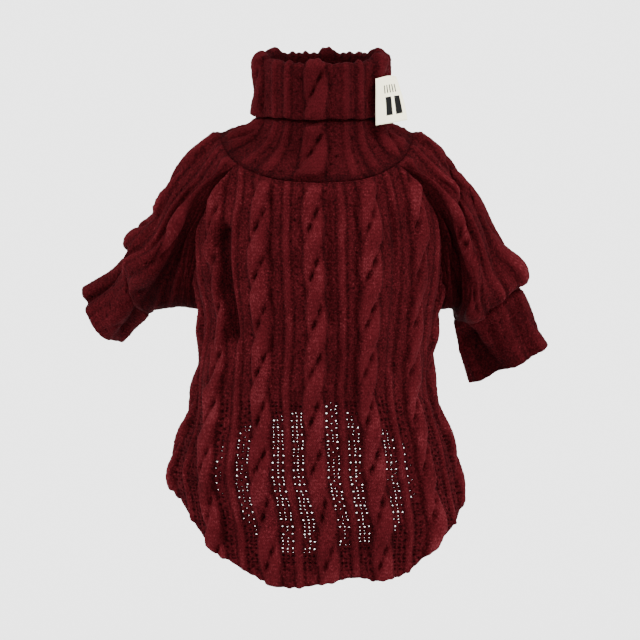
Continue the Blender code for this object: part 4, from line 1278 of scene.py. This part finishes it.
def tube_piece(name, along, base, normal, inside, fade, fold, spread, relief, material):
    """A sleeve, whose knit ends on the underarm line, or a cuff, whose knit widens with it.

    The spread widens the near half's knit along a sleeve; a cuff has none. The relief is how far
    its ropes stand out, from 0 to 1.
    """
    widening = spread is None
    calm = 1.0 - HOLLOW_CALM * smooth(0.0, -FOLD_SHADE_DEPTH, fold)
    flats = [np.broadcast_to(part, base.shape[:2])[..., None]
             for part in (fade * calm, fold_shade(fold))]
    values = np.concatenate([base, normal, inside] + flats, axis=-1)
    halves = halves_of(base, values)
    ends = [reach[:, -1] for reach, _ in halves]
    if widening:
        near, far = (np.full(len(along), e[0]) for e in ends)
        across, slots = BODY_KNIT.columns(CLOSING_GAP - far[0], near[0] - CLOSING_GAP)
    else:
        near, far = (np.minimum.accumulate(e) for e in (ends[0] / spread, ends[1]))
        across, slots = BODY_KNIT.columns(-far[0], near[0], [near[-1], -far[-1], near[0], -far[0]])
    limits = near, far
    columns = []
    for place, slot in zip(across, slots):
        k = 0 if place >= 0.0 else 1
        stretch = ends[k] / limits[k]
        found, keys, names = tube_column(halves[k], abs(place), limits[k], stretch, along)
        point, way, behind, flat = np.split(found, (3, 6, 9), axis=1)
        raised, shade = flat.T
        rise, tone_and_shade, u, v = BODY_KNIT.relief(np.full(len(keys), place), keys)
        rise = rise * relief
        # On a cuff the knit's tone is evened towards a tone lowered as painted shade.
        tone_and_shade = blend(CUFF_SHADED_TONE, tone_and_shade, relief)
        rough = random.normal(0.0, ROUGH_YARN, len(keys))
        if not widening:
            # Near the underarm line the knit is flatter and gets painted shade.
            under = smooth(-UNDERARM_TAPER, UNDERARM_REACH, limits[k][:len(names)] - abs(place))
            raised = raised * under
            shade = shade * blend(UNDERARM_SHADE, 1.0, under)
        outer = point + unit(way) * ((rise + rough) * raised)[:, None]
        # Painted shade where the knit lies flat and in troughs, painted light on ridges.
        marks = np.stack([tone_and_shade * blend(FLAT_SHADE, 1.0, raised) * shade, u, v], axis=1)
        columns.append(Column(slot, names, -keys, outer, behind, marks, edge_rows(names)))
    holes = mesh_holes(BODY_KNIT, columns, NOT_THROUGH)
    return Wall(columns, holes, closed=widening).made(name, material)


def sleeve_piece(name, material):
    """A raglan sleeve, from its armhole to the seam of its cuff."""
    side = SIDES[name]
    start, start_inner, start_normal, shares = armhole_ring(side)
    shaped = oval_rings(SLEEVES[name], side, shares)[:-1]
    cuff = cuff_rings(name)
    end = cuff[0] - SEAM_GAP * unit((cuff[1] - cuff[0]).mean(axis=0))
    keys = np.concatenate([[0.0], SLEEVES[name]["along"]])
    length = keys[-1]
    along = tube_rows(length)
    free = smooth(0.0, SHOULDER_BLEND, along)[:, None, None]

    def turned(points):
        return unit(ring_normals(points) * free + start_normal * (1.0 - free))

    spread = smooth(0.0, FOLD_TAPER, along) * smooth(0.0, SEAM_TAPER, length - along)
    plain = eased(keys, np.stack([start, *shaped, end]), along)
    to_seam = seam_distance(plain, start)
    to_cuff = length - along
    fold = fold_rise(plain, SLEEVE_FOLDS[name], along, spread)
    way = turned(plain)
    base = plain + way * (fold - seam_sink(to_seam))[..., None]
    normal = turned(base)
    cuff_normal = ring_normals(cuff)[0]
    base = base - cuff_normal * seam_sink(to_cuff)[:, None, None]
    fade = smooth(0.0, RAGLAN_TAPER, to_seam) * smooth(0.0, SEAM_TAPER, to_cuff)[:, None]
    inside = base - normal * WALL
    inside[0] = start_inner - start_normal * SEAM_SINK
    inside[-1] = base[-1] - cuff_normal * WALL
    return tube_piece("sleeve_" + name + "_knit", along, base, normal, inside, fade, fold,
                      read(NEAR_SPREAD, "along", "spread", along), 1.0, material)


def cuff_piece(name, material):
    """A cuff: a closed tube with its knit running along it."""
    rings = cuff_rings(name)
    keys = CUFFS[name]["along"]
    along = tube_rows(keys[-1])
    fade = smooth(0.0, SEAM_TAPER, along)
    plain = eased(keys, rings, along)
    fold = fold_rise(plain, CUFF_FOLDS[name], along, fade)
    base = plain + ring_normals(plain) * fold[..., None]
    base[0] += SEAM_GAP * unit((rings[1] - rings[0]).mean(axis=0))
    normal = ring_normals(base)
    start_normal = ring_normals(rings)[0]
    base = base - start_normal * seam_sink(along)[:, None, None]
    inside = base - normal * WALL
    inside[0] = base[0] - start_normal * WALL
    return tube_piece("cuff_" + name + "_knit", along, base, normal, inside, fade[:, None], fold, None,
                      CUFF_RELIEF[name], material)


# The collar stands on the neck seam as a tube of oval section and is folded down over itself.
COLLAR_MIDDLE = 3.8
COLLAR_HALF_WIDTH = 40.0
COLLAR_HALF_DEPTH = 38.5
COLLAR_WALL = 2.5
COLLAR_TOP = 60.0
COLLAR_SIDE_RISE = 1.5
COLLAR_FRONT_DIP = 1.6
COLLAR_EDGE = 24.5
COLLAR_LAYER_EDGE = 25.1
CROWN_START = 3.0
POCKET_START = 3.4
CROWN_SPREAD = 0.4
STAND_TOP = 4.0
FOOT_WALL = 2.0
COLLAR_ROPES = 6
COLLAR_ROPE_START = -5.0
COLLAR_ROPE_RISE = 0.95
COLLAR_WARP = 7.0
STAND_SWELL = 2.3
EDGE_WAVE = 0.6
RIM_WAVE = 0.5
RIM_WAVE_LENGTH = 6.2
RIM_WANDER_RATE = 0.11
EDGE_LIFT = 0.6
EDGE_WAVE_RATES = (0.09, 0.21)
EDGE_WAVE_SHIFT = 1.0
EDGE_ROUND = 1.2
CROWN_TILT = 0.6
STAND_SWELL_START = (0.35, 0.8)
STAND_SWELL_END = (1.0, 0.965)
STAND_FADE_IN = 0.16
STAND_FADE_OUT = (1.05, 0.85)
# The numbers of the rows of stitches start here, so that each layer has rows of its own.
STAND_FIRST_ROW = 100
LAYER_FIRST_ROW = 200
COLLAR_CLOSING = 0.5
COLLAR_LAYER_CROSSING = 46.0
COLLAR_STAND_CROSSING = 9.0
STAND_ROWS = 30
LAYER_ROWS = 31
POCKET_ROWS = 5
EDGE_ROWS = 4
CROWN_ROWS = 9
INSIDE_ROWS = 12
FOOT_ROWS = 8


def collar_tube(angle, height, inset):
    """Points on the upright tube of the collar, inset from its outer base surface."""
    turn = np.radians(angle)
    x = COLLAR_MIDDLE + (COLLAR_HALF_WIDTH - inset) * np.sin(turn)
    y = -(COLLAR_HALF_DEPTH - inset) * np.cos(turn)
    return np.stack(np.broadcast_arrays(x, y, height), axis=-1)


def collar_profile(angle, across):
    """Rows of points up the stand, down and up the turned layer, and down the inside, at one angle."""
    stand_face = COLLAR_WALL + LAYER_GAP
    stand_inside = stand_face + COLLAR_WALL
    sine, cosine = np.sin(np.radians(angle)), np.cos(np.radians(angle))
    fold = COLLAR_TOP + COLLAR_SIDE_RISE * sine ** 4
    fold -= COLLAR_FRONT_DIP * max(cosine, 0.0) ** 2
    radial = np.array([sine, -cosine, 0.0])
    neck = float(neck_height(np.array(angle)))
    neck_normal = torso_normal(np.array(angle), np.array(neck))
    up = unit(torso_point(angle, neck + HEIGHT_STEP) - torso_point(angle, neck - HEIGHT_STEP))
    base = torso_point(angle, neck) + SEAM_GAP * up - SEAM_SINK * neck_normal

    def stand(share, inset, foot):
        """The stand between the neck seam and the layer's edge, flaring out to the seam."""
        level = blend(neck, COLLAR_EDGE, share)
        swell = STAND_SWELL * smooth(*STAND_SWELL_START, share) * smooth(*STAND_SWELL_END, share)
        straight = collar_tube(angle, level, inset - swell)
        flare = (1.0 - share) ** 2
        point = straight + (foot - straight) * flare
        point[2] = blend(foot[2], COLLAR_EDGE, share)
        return point

    slow, quick = (rate * angle for rate in EDGE_WAVE_RATES)
    wave = np.sin(slow + EDGE_WAVE_SHIFT) * np.sin(quick)
    edge = COLLAR_LAYER_EDGE + EDGE_LIFT + EDGE_WAVE * (1.0 + wave)
    wander = np.sin(RIM_WANDER_RATE * across)
    rim = RIM_WAVE * np.sin(2.0 * np.pi * across / RIM_WAVE_LENGTH + wander)
    outside = []
    marks = []
    rows = []

    def lay(point, way, down, raised, row=None):
        """One outer point with the knit raised on it."""
        rise, tone_and_shade, u, v = (float(x) for x in COLLAR_KNIT.relief(across, down))
        rough = random.normal(0.0, ROUGH_YARN)
        outside.append(point + way * (rise * COLLAR_ROPE_RISE + rough) * raised)
        # Where the collar's knit lies flat, by its seam, under the turned layer and inside the fold, it
        # gets painted shade, down to half as light.
        marks.append((tone_and_shade * blend(0.5, 1.0, raised), u, v))
        rows.append(row)
        return rise

    for number, share in enumerate(np.linspace(0.0, 1.0, STAND_ROWS)):
        point = stand(share, stand_face, base)
        raised = float(smooth(0.0, STAND_FADE_IN, share) * smooth(*STAND_FADE_OUT, share))
        lean = unit(neck_normal * (1.0 - share) + radial * share)
        row = STAND_FIRST_ROW + number if 0 < number < STAND_ROWS - 2 else None
        lay(point, lean, COLLAR_STAND_CROSSING - point[2], raised, row)
    pocket = fold - POCKET_START
    for level in np.linspace(COLLAR_EDGE, pocket, POCKET_ROWS)[1:]:
        lay(collar_tube(angle, level, stand_face), radial, level, 0.0)
    for level in np.linspace(pocket, edge, POCKET_ROWS):
        lay(collar_tube(angle, level, COLLAR_WALL), radial, level, 0.0)
    for turn in np.linspace(0.0, np.pi, EDGE_ROWS + 2)[1:-1]:
        inset = 0.5 * COLLAR_WALL * (1.0 + np.cos(turn))
        level = edge - EDGE_ROUND * np.sin(turn)
        raised = 0.5 - 0.5 * np.cos(turn)
        lay(collar_tube(angle, level, inset), radial, COLLAR_LAYER_CROSSING - level, raised)
    for number, level in enumerate(np.linspace(edge, fold - CROWN_START, LAYER_ROWS)):
        row = LAYER_FIRST_ROW + number if 1 < number < LAYER_ROWS - 2 else None
        rise = lay(collar_tube(angle, level, 0.0), radial, COLLAR_LAYER_CROSSING - level, 1.0, row)
    middle = 0.5 * stand_inside
    for turn in np.linspace(0.0, np.pi, CROWN_ROWS + 2)[1:-1]:
        lift = np.sin(turn) * (CROWN_START + CROWN_SPREAD * rise + rim)
        raised = 0.5 + 0.5 * np.cos(turn)
        point = collar_tube(angle, fold - CROWN_START + lift, middle - middle * np.cos(turn))
        along = COLLAR_LAYER_CROSSING - fold - middle * turn
        way = radial * np.cos(turn) + np.array([0.0, 0.0, CROWN_TILT * np.sin(turn)])
        lay(point, way, along, raised)
    foot = base - neck_normal * FOOT_WALL
    lower = [stand(share, stand_inside, foot) for share in np.linspace(0.0, 1.0, FOOT_ROWS)[1:-1]]
    upper = [collar_tube(angle, level, stand_inside)
             for level in np.linspace(COLLAR_EDGE, fold - STAND_TOP, INSIDE_ROWS)]
    return np.array(outside), np.array(marks), rows, np.array([foot] + lower + upper)


def collar_piece(material):
    """The collar: one tube, sewn to the neck ring and turned down over itself."""
    whole = COLLAR_KNIT.repeat * COLLAR_ROPES
    across, slots = COLLAR_KNIT.columns(-0.5 * whole, 0.5 * whole - COLLAR_CLOSING)
    columns = []
    for place, slot in zip(across, slots):
        angle = COLLAR_ROPE_START + 360.0 * place / whole
        angle = (angle + COLLAR_WARP * np.sin(np.radians(angle)) + 180.0) % 360.0 - 180.0
        outer, marks, rows, inside = collar_profile(angle, place)
        keys = -np.arange(len(outer), dtype=float)
        shares = np.linspace(0.0, 1.0, len(outer))
        inner = sampled(inside, np.linspace(0.0, 1.0, len(inside)), shares)
        kept = np.zeros(len(outer), bool)
        kept[::EDGE_STEP] = True
        kept[[0, -1]] = True
        columns.append(Column(slot, rows, keys, outer, inner, marks, kept))
    holes = mesh_holes(COLLAR_KNIT, columns, NOT_THROUGH)
    return Wall(columns, holes, closed=True).made("collar_knit", material)


# The label is sewn on the collar along its left edge and stands off at its lower right corner.
LABEL_WIDTH = 20.0
LABEL_HEIGHT = 28.0
LABEL_THICKNESS = 1.2
LABEL_LEFT = (35.8, -29.9)
LABEL_TOP = 49.0
LABEL_TOP_TURN = 53.0
LABEL_LOW_TURN = 19.0
LABEL_DROOP = 2.9
LABEL_PEAK = 1.1
LABEL_PEAK_LEAN = 1.3
LABEL_BOW = 1.1
LABEL_TOP_BOW = 0.4
LABEL_THIN_EDGE = 0.35
LABEL_RIPPLE = 0.18
LABEL_RIPPLE_RATES = (9.0, 3.0, 7.0)
LABEL_STEP = 0.55
LABEL_PROBE = 0.01


def label_point(across, down):
    """A point of the label's middle sheet, which is sewn on along its left edge."""
    turn = np.radians(blend(LABEL_TOP_TURN, LABEL_LOW_TURN, down))
    reach = LABEL_WIDTH * across
    bow = LABEL_BOW * np.sin(np.pi * across) * blend(LABEL_TOP_BOW, 1.0, down)
    x = LABEL_LEFT[0] + reach * np.cos(turn) + bow * np.sin(turn)
    y = LABEL_LEFT[1] + reach * np.sin(turn) - bow * np.cos(turn)
    peak = LABEL_PEAK * np.sin(np.pi * max(across, 0.0) ** LABEL_PEAK_LEAN) * (1.0 - down) ** 2
    return np.array([x, y, LABEL_TOP - LABEL_HEIGHT * down + LABEL_DROOP * across * down + peak])


def label_piece(material):
    """The folded woven label, with soft edges and a fold along its lower edge."""
    across_rate, down_rate, wave_rate = LABEL_RIPPLE_RATES
    across = np.linspace(0.0, 1.0, int(LABEL_WIDTH / LABEL_STEP))
    down = np.linspace(0.0, 1.0, int(LABEL_HEIGHT / LABEL_STEP))
    columns = []
    for a in across:
        front, behind, marks = [], [], []
        for d in down:
            point = label_point(a, d)
            right = label_point(a + LABEL_PROBE, d) - label_point(a - LABEL_PROBE, d)
            below = label_point(a, d + LABEL_PROBE) - label_point(a, d - LABEL_PROBE)
            normal = unit(np.cross(below, right))
            edge = min(min(a, 1.0 - a) * LABEL_WIDTH, min(d, 1.0 - d) * LABEL_HEIGHT)
            half = 0.5 * LABEL_THICKNESS * blend(LABEL_THIN_EDGE, 1.0, np.sqrt(min(edge, 1.0)))
            ripple = LABEL_RIPPLE * np.sin(across_rate * a + down_rate * d) * np.sin(wave_rate * d)
            front.append(point + (half + ripple) * normal)
            behind.append(point - (half - ripple) * normal)
            marks.append((1.0, a, 1.0 - d))
        columns.append(plain_column(-down, *(np.array(part) for part in (front, behind, marks))))
    return Wall(columns).made("label_tape", material)


# Overlocked seams: flat rolls with a slightly zigzag edge.
ROLL_SIDES = 8
ROLL_WIDTH = 2.3
CUFF_ROLL_WIDTH = 1.7
ROLL_THICK = 0.9
ROLL_DEPTH = 3.3
ROLL_ZIGZAG = 0.18
ROLL_STITCH = 0.5
ROLL_STEP = 1.1
NECK_ROLL_STEP = 2.0
SIDE_SEAM_TOP = -92.0
SIDE_SEAM_MARGIN = 1.0
SIDE_SEAM_SAMPLES = 100


def roll(name, path, normals, material, closed=False, width=ROLL_WIDTH):
    """Overlocked seam allowances on the inside: a flat roll that follows a path."""
    after = np.roll(path, -1, axis=0) if closed else np.concatenate([path[1:], path[-1:]])
    before = np.roll(path, 1, axis=0) if closed else np.concatenate([path[:1], path[:-1]])
    side = unit(np.cross(normals, after - before))
    count = len(path)
    points = []
    marks = []
    rings = []
    for k in range(count):
        rings.append(list(range(k * ROLL_SIDES, (k + 1) * ROLL_SIDES)))
        wide = width * (1.0 + ROLL_ZIGZAG * (-1.0) ** k)
        for turn in np.linspace(0.0, 2.0 * np.pi, ROLL_SIDES, endpoint=False):
            centre = path[k] - ROLL_DEPTH * normals[k]
            offset = wide * np.cos(turn) * side[k] + ROLL_THICK * np.sin(turn) * normals[k]
            points.append(centre + offset)
            marks.append((INSIDE_TONE, ROLL_STITCH * turn, ROLL_STITCH * k))
    faces = []
    for k in range(count if closed else count - 1):
        here, there = rings[k], rings[(k + 1) % count]
        for s in range(ROLL_SIDES):
            t = (s + 1) % ROLL_SIDES
            faces.append((here[s], here[t], there[t], there[s]))
    if not closed:
        faces += [rings[0], rings[-1]]
    return made_mesh(name, points, faces, marks, material)


def spaced(path, normals):
    """A path and its normals at points a roll's step apart."""
    reach = reach_along(path)
    at = np.linspace(0.0, reach[-1], max(int(reach[-1] / ROLL_STEP), 2))
    return sampled(path, reach, at), unit(sampled(normals, reach, at))


def seam_rolls(material):
    """The rolls behind the neck seam, the raglan and side seams and the cuff seams."""
    turns = np.arange(-180.0, 180.0, NECK_ROLL_STEP)
    heights = neck_height(turns)
    path, normals = torso_point(turns, heights), torso_normal(turns, heights)
    made = [roll("neck_seam", path, normals, material, closed=True)]
    for name, side in SIDES.items():
        outer, _, normal, _ = armhole_ring(side)
        raglans = slice(NECK_COLUMNS, len(outer) - NECK_COLUMNS + 1)
        path, normals = spaced(outer[raglans], normal[raglans])
        made.append(roll("raglan_seam_" + name, path, normals, material))
        bottom = float(hem_height(np.array(side * SIDE_SEAM)))
        levels = np.linspace(SIDE_SEAM_TOP, bottom + SIDE_SEAM_MARGIN, SIDE_SEAM_SAMPLES)
        angle = np.full(len(levels), side * SIDE_SEAM)
        path, normals = spaced(torso_point(angle, levels), torso_normal(angle, levels))
        made.append(roll("side_seam_" + name, path, normals, material))
        rings = cuff_rings(name)
        path, normals = rings[0][::2], ring_normals(rings)[0][::2]
        made.append(roll("cuff_seam_" + name, path, normals, material, closed=True,
                         width=CUFF_ROLL_WIDTH))
    return made


# Yarn colours from dark to light; GLINT, the lightest, is a painted glint that only rare light specks
# reach.
DEEP = (0.0028, 0.0003, 0.0005)
MIDDLE = (0.0190, 0.0014, 0.0021)
LIGHT = (0.0430, 0.0036, 0.0053)
GLINT = (0.0800, 0.0120, 0.0150)
TAPE = (0.97, 0.92, 0.66)
INK = (0.004, 0.004, 0.004)


def shader_tree(name, roughness):
    """A new material with its node tree and its Principled BSDF."""
    material = bpy.data.materials.new(name)
    material.use_nodes = True
    tree = material.node_tree
    shader = tree.nodes["Principled BSDF"]
    shader.inputs["Roughness"].default_value = roughness
    shader.inputs["Metallic"].default_value = 0.0
    return material, tree, shader


def feed(tree, socket, value):
    """Link a node's output to a socket, or set the socket to a number."""
    if isinstance(value, (int, float)):
        socket.default_value = value
    else:
        tree.links.new(value, socket)


def maths(tree, operation, *values):
    """A Math node's output."""
    node = tree.nodes.new("ShaderNodeMath")
    node.operation = operation
    for socket, value in zip(node.inputs, values):
        feed(tree, socket, value)
    return node.outputs[0]


def noise(tree, scale, detail, roughness):
    """A noise over the object's own coordinates; scale is in waves to the metre."""
    place = tree.nodes.new("ShaderNodeTexCoord")
    node = tree.nodes.new("ShaderNodeTexNoise")
    node.inputs["Scale"].default_value = scale
    node.inputs["Detail"].default_value = detail
    node.inputs["Roughness"].default_value = roughness
    tree.links.new(place.outputs["Object"], node.inputs["Vector"])
    return node.outputs["Fac"]


def ramp(tree, value, stops):
    """A colour ramp with (position, colour) stops."""
    node = tree.nodes.new("ShaderNodeValToRGB")
    tree.links.new(value, node.inputs["Fac"])
    elements = node.color_ramp.elements
    while len(elements) < len(stops):
        elements.new(0.5)
    for element, (position, colour) in zip(elements, stops):
        element.position = position
        element.color = (*colour, 1.0)
    return node.outputs["Color"]


def split_up(tree, vector):
    """A Separate XYZ node's outputs."""
    node = tree.nodes.new("ShaderNodeSeparateXYZ")
    tree.links.new(vector, node.inputs[0])
    return node.outputs


def stitch_place(tree):
    """The stitch coordinates: across and down."""
    place = tree.nodes.new("ShaderNodeUVMap")
    place.uv_map = "stitches"
    return split_up(tree, place.outputs["UV"])[:2]


def bumped(tree, height, strength, distance, under=None):
    """The normal of a Bump node, which may lie over another normal."""
    node = tree.nodes.new("ShaderNodeBump")
    node.inputs["Strength"].default_value = strength
    node.inputs["Distance"].default_value = distance * MM
    tree.links.new(height, node.inputs["Height"])
    if under is not None:
        tree.links.new(under, node.inputs["Normal"])
    return node.outputs["Normal"]


STITCH_SLANT = 1.3
STITCH_GAP = 0.15


def stitches(tree):
    """Height of V-shaped knit stitches over the stitch coordinates, 0 to 1."""
    x, y = stitch_place(tree)
    across = maths(tree, "FRACT", maths(tree, "ADD", x, 0.5))
    aside = maths(tree, "ABSOLUTE", maths(tree, "SUBTRACT", across, 0.5))
    slant = maths(tree, "SUBTRACT", y, maths(tree, "MULTIPLY", aside, STITCH_SLANT))
    wave = maths(tree, "SINE", maths(tree, "MULTIPLY", slant, 2.0 * np.pi))
    wave = maths(tree, "MULTIPLY_ADD", wave, 0.5, 0.5)
    between = maths(tree, "SINE", maths(tree, "MULTIPLY", aside, 2.0 * np.pi))
    return maths(tree, "MULTIPLY", wave, maths(tree, "MAXIMUM", between, STITCH_GAP))


# Scale, detail and roughness of each noise, and strength and height in millimetres of each bump.
PATCH_NOISE = (55.0, 3.0, 0.55)
FUZZ_NOISE = (620.0, 5.0, 0.7)
SPECKLE_NOISE = (900.0, 2.0, 0.6)
KNIT_BUMP = (0.55, 0.45)
FUZZ_BUMP = (0.5, 0.5)
LABEL_BUMP = (0.4, 0.12)
KNIT_ROUGHNESS = 0.88
KNIT_BRIGHTNESS = 0.75
KNIT_COLOURS = ((0.0, DEEP), (0.36, MIDDLE), (0.75, LIGHT), (1.0, GLINT))
# How much patches, fuzz, speckle and stitches change the yarn's lightness: spread and least.
KNIT_CHANGES = ((0.6, 0.70), (1.2, 0.38), (7.0, 1.0), (0.20, 0.90))
# The open knit is speckled, and the less the nearer its tone is to this one.
OPEN_TONE = 1.12
SHEEN_COLOUR = (0.80, 0.12, 0.16, 1.0)


def knit_material(name, brightness):
    """Brushed acrylic knit with fuzz: darker where its tone carries painted shade, in the mesh and
    slits, and lighter on ropes and ribs.
    """
    material, tree, shader = shader_tree(name, KNIT_ROUGHNESS)
    tone_and_shade = tree.nodes.new("ShaderNodeAttribute")
    tone_and_shade.attribute_name = "tone_and_shade"
    patches = noise(tree, *PATCH_NOISE)
    fuzz = noise(tree, *FUZZ_NOISE)
    knit = stitches(tree)
    speckle = noise(tree, *SPECKLE_NOISE)
    openness = maths(tree, "MAXIMUM", maths(tree, "SUBTRACT", OPEN_TONE, tone_and_shade.outputs["Fac"]), 0.0)
    grain = maths(tree, "MULTIPLY", maths(tree, "SUBTRACT", speckle, 0.5), openness)
    value = maths(tree, "MULTIPLY", tone_and_shade.outputs["Fac"], KNIT_BRIGHTNESS * brightness)
    for part, (spread, least) in zip((patches, fuzz, grain, knit), KNIT_CHANGES):
        value = maths(tree, "MULTIPLY", value, maths(tree, "MULTIPLY_ADD", part, spread, least))
    tree.links.new(ramp(tree, value, KNIT_COLOURS), shader.inputs["Base Color"])
    shader.inputs["Sheen Weight"].default_value = 0.03
    shader.inputs["Sheen Roughness"].default_value = 0.45
    shader.inputs["Sheen Tint"].default_value = SHEEN_COLOUR
    shader.inputs["Specular IOR Level"].default_value = 0.015
    normal = bumped(tree, fuzz, *FUZZ_BUMP, under=bumped(tree, knit, *KNIT_BUMP))
    tree.links.new(normal, shader.inputs["Normal"])
    return material


# Plain black bars on the label: left, right, low and high as shares of its width and height.
LABEL_BARS = ((0.32, 0.53, 0.17, 0.57), (0.64, 0.86, 0.17, 0.57))
LABEL_TICKS = (0.30, 0.82, 0.65, 0.82)
TICK_SPACING = 0.104
TICK_WIDTH = 0.045
LABEL_THREADS = (34.0, 48.0)
LABEL_ROUGHNESS = 0.75


def inside_box(tree, x, y, box):
    """1 in a box of left, right, low and high, and 0 outside it."""
    left, right, low, high = box
    inside = maths(tree, "GREATER_THAN", x, left)
    for place, operation, limit in ((x, "LESS_THAN", right), (y, "GREATER_THAN", low),
                                    (y, "LESS_THAN", high)):
        inside = maths(tree, "MULTIPLY", inside, maths(tree, operation, place, limit))
    return inside


def label_material():
    """Off-white woven tape with plain black bars and a row of ticks."""
    material, tree, shader = shader_tree("woven_tape", LABEL_ROUGHNESS)
    x, y = stitch_place(tree)
    ink = 0.0
    for box in LABEL_BARS:
        ink = maths(tree, "MAXIMUM", ink, inside_box(tree, x, y, box))
    past = maths(tree, "MODULO", maths(tree, "SUBTRACT", x, LABEL_TICKS[0]), TICK_SPACING)
    tick = maths(tree, "LESS_THAN", past, TICK_WIDTH)
    ticks = maths(tree, "MULTIPLY", inside_box(tree, x, y, LABEL_TICKS), tick)
    ink = maths(tree, "MAXIMUM", ink, ticks)
    warp, weft = (maths(tree, "SINE", maths(tree, "MULTIPLY", place, 2.0 * np.pi * threads))
                  for place, threads in zip((x, y), LABEL_THREADS))
    colour = ramp(tree, ink, ((0.0, TAPE), (1.0, INK)))
    tree.links.new(colour, shader.inputs["Base Color"])
    shader.inputs["Specular IOR Level"].default_value = 0.08
    normal = bumped(tree, maths(tree, "MULTIPLY", warp, weft), *LABEL_BUMP)
    tree.links.new(normal, shader.inputs["Normal"])
    return material


def plain_material(name, colour, roughness):
    material, _, shader = shader_tree(name, roughness)
    shader.inputs["Base Color"].default_value = (*colour, 1.0)
    return material


CLIP_END = 100.0
FLOOR_DROP = 55.0
FLOOR_HALF = 16000.0
FLOOR_COLOUR = (0.95, 0.95, 0.95)
FLOOR_ROUGHNESS = 0.9
WORLD_COLOUR = (1.0, 1.0, 1.0)
WORLD_STRENGTH = 1.2
# Below the horizon the surrounding is as bright as the lit floor, so the floor seems to have no end.
FLOOR_GLOW = 3.44

# Soft lights as wide suns: name, where it stands, strength, and how wide it looks in degrees.
LIGHTS = (
    ("left", (-2000.0, -1000.0, 2300.0), 4.6, 18.0),
    ("right", (2000.0, -1000.0, 2300.0), 6.0, 18.0),
)


def make_camera():
    """The photograph's view, from in front of the back panel and a little above."""
    lens = bpy.data.cameras.new("photo_view")
    lens.sensor_width = SENSOR
    lens.lens = SENSOR * VIEW_DISTANCE / VIEW_WIDTH
    lens.clip_end = CLIP_END
    camera = placed("photo_view", lens)
    down = np.radians(VIEW_DOWN)
    offset = VIEW_DISTANCE * np.array([0.0, -np.cos(down), np.sin(down)])
    camera.location = (np.array(VIEW_CENTRE) + offset) * MM
    camera.rotation_euler = (0.5 * np.pi - down, 0.0, 0.0)
    bpy.context.scene.camera = camera


def make_floor():
    """A plain pale floor below the sweater."""
    low = CAD_BOX[0][2] / MM - FLOOR_DROP
    data = bpy.data.meshes.new("floor")
    corners = [(x * FLOOR_HALF * MM, y * FLOOR_HALF * MM, low * MM)
               for x, y in ((-1, -1), (1, -1), (1, 1), (-1, 1))]
    data.from_pydata(corners, [], [(0, 1, 2, 3)])
    data.materials.append(plain_material("pale_floor", FLOOR_COLOUR, FLOOR_ROUGHNESS))
    floor = placed("floor", data)


def make_lights():
    """Soft lights from both sides and a pale surrounding."""
    for name, place, strength, width in LIGHTS:
        light = bpy.data.lights.new(name, "SUN")
        light.energy = strength
        light.angle = np.radians(width)
        lamp = placed(name, light)
        lamp.location = np.array(place) * MM
        way = Vector(np.array(VIEW_CENTRE) - np.array(place))
        lamp.rotation_euler = way.to_track_quat("-Z", "Y").to_euler()
    world = bpy.data.worlds.new("soft_surrounding")
    world.use_nodes = True
    tree = world.node_tree
    background = tree.nodes["Background"]
    background.inputs["Color"].default_value = (*WORLD_COLOUR, 1.0)
    place = tree.nodes.new("ShaderNodeTexCoord")
    height = split_up(tree, place.outputs["Generated"])["Z"]
    below = maths(tree, "LESS_THAN", height, 0.0)
    glow = maths(tree, "MULTIPLY_ADD", below, FLOOR_GLOW - WORLD_STRENGTH, WORLD_STRENGTH)
    tree.links.new(glow, background.inputs["Strength"])
    bpy.context.scene.world = world


def dress(piece, node):
    """Ride a cloth piece on the body, and let it stand for its solid, which is hidden."""
    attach(piece, BODY)
    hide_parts(node)


def main():
    make_camera()
    make_floor()
    make_lights()
    body_knit = knit_material("body_knit_yarn", 1.0)
    # The collar, the hem facing, the sleeves and the cuffs take darker copies of the body's yarn:
    # painted shade.
    collar_knit = knit_material("collar_yarn_painted_shade", 0.78)
    sleeve_knit = knit_material("sleeve_yarn_painted_shade", 0.90)
    thread = knit_material("seam_thread", 0.7)
    back = panel_piece("back_knit", BACK, THROUGH_ZONE, body_knit)
    dress(back, "back_panel")
    belly = panel_piece("belly_knit", BELLY, NOT_THROUGH, body_knit)
    dress(belly, "belly_panel")
    facing = facing_piece(collar_knit)
    dress(facing, "hem_facing")
    for name in SIDES:
        sleeve = sleeve_piece(name, sleeve_knit)
        dress(sleeve, "sleeve_" + name)
        cuff = cuff_piece(name, sleeve_knit)
        dress(cuff, "cuff_" + name)
    collar = collar_piece(collar_knit)
    dress(collar, "collar")
    label = label_piece(label_material())
    dress(label, "label")
    for seam in seam_rolls(thread):
        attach(seam, BODY)
    bpy.context.view_layer.update()


main()
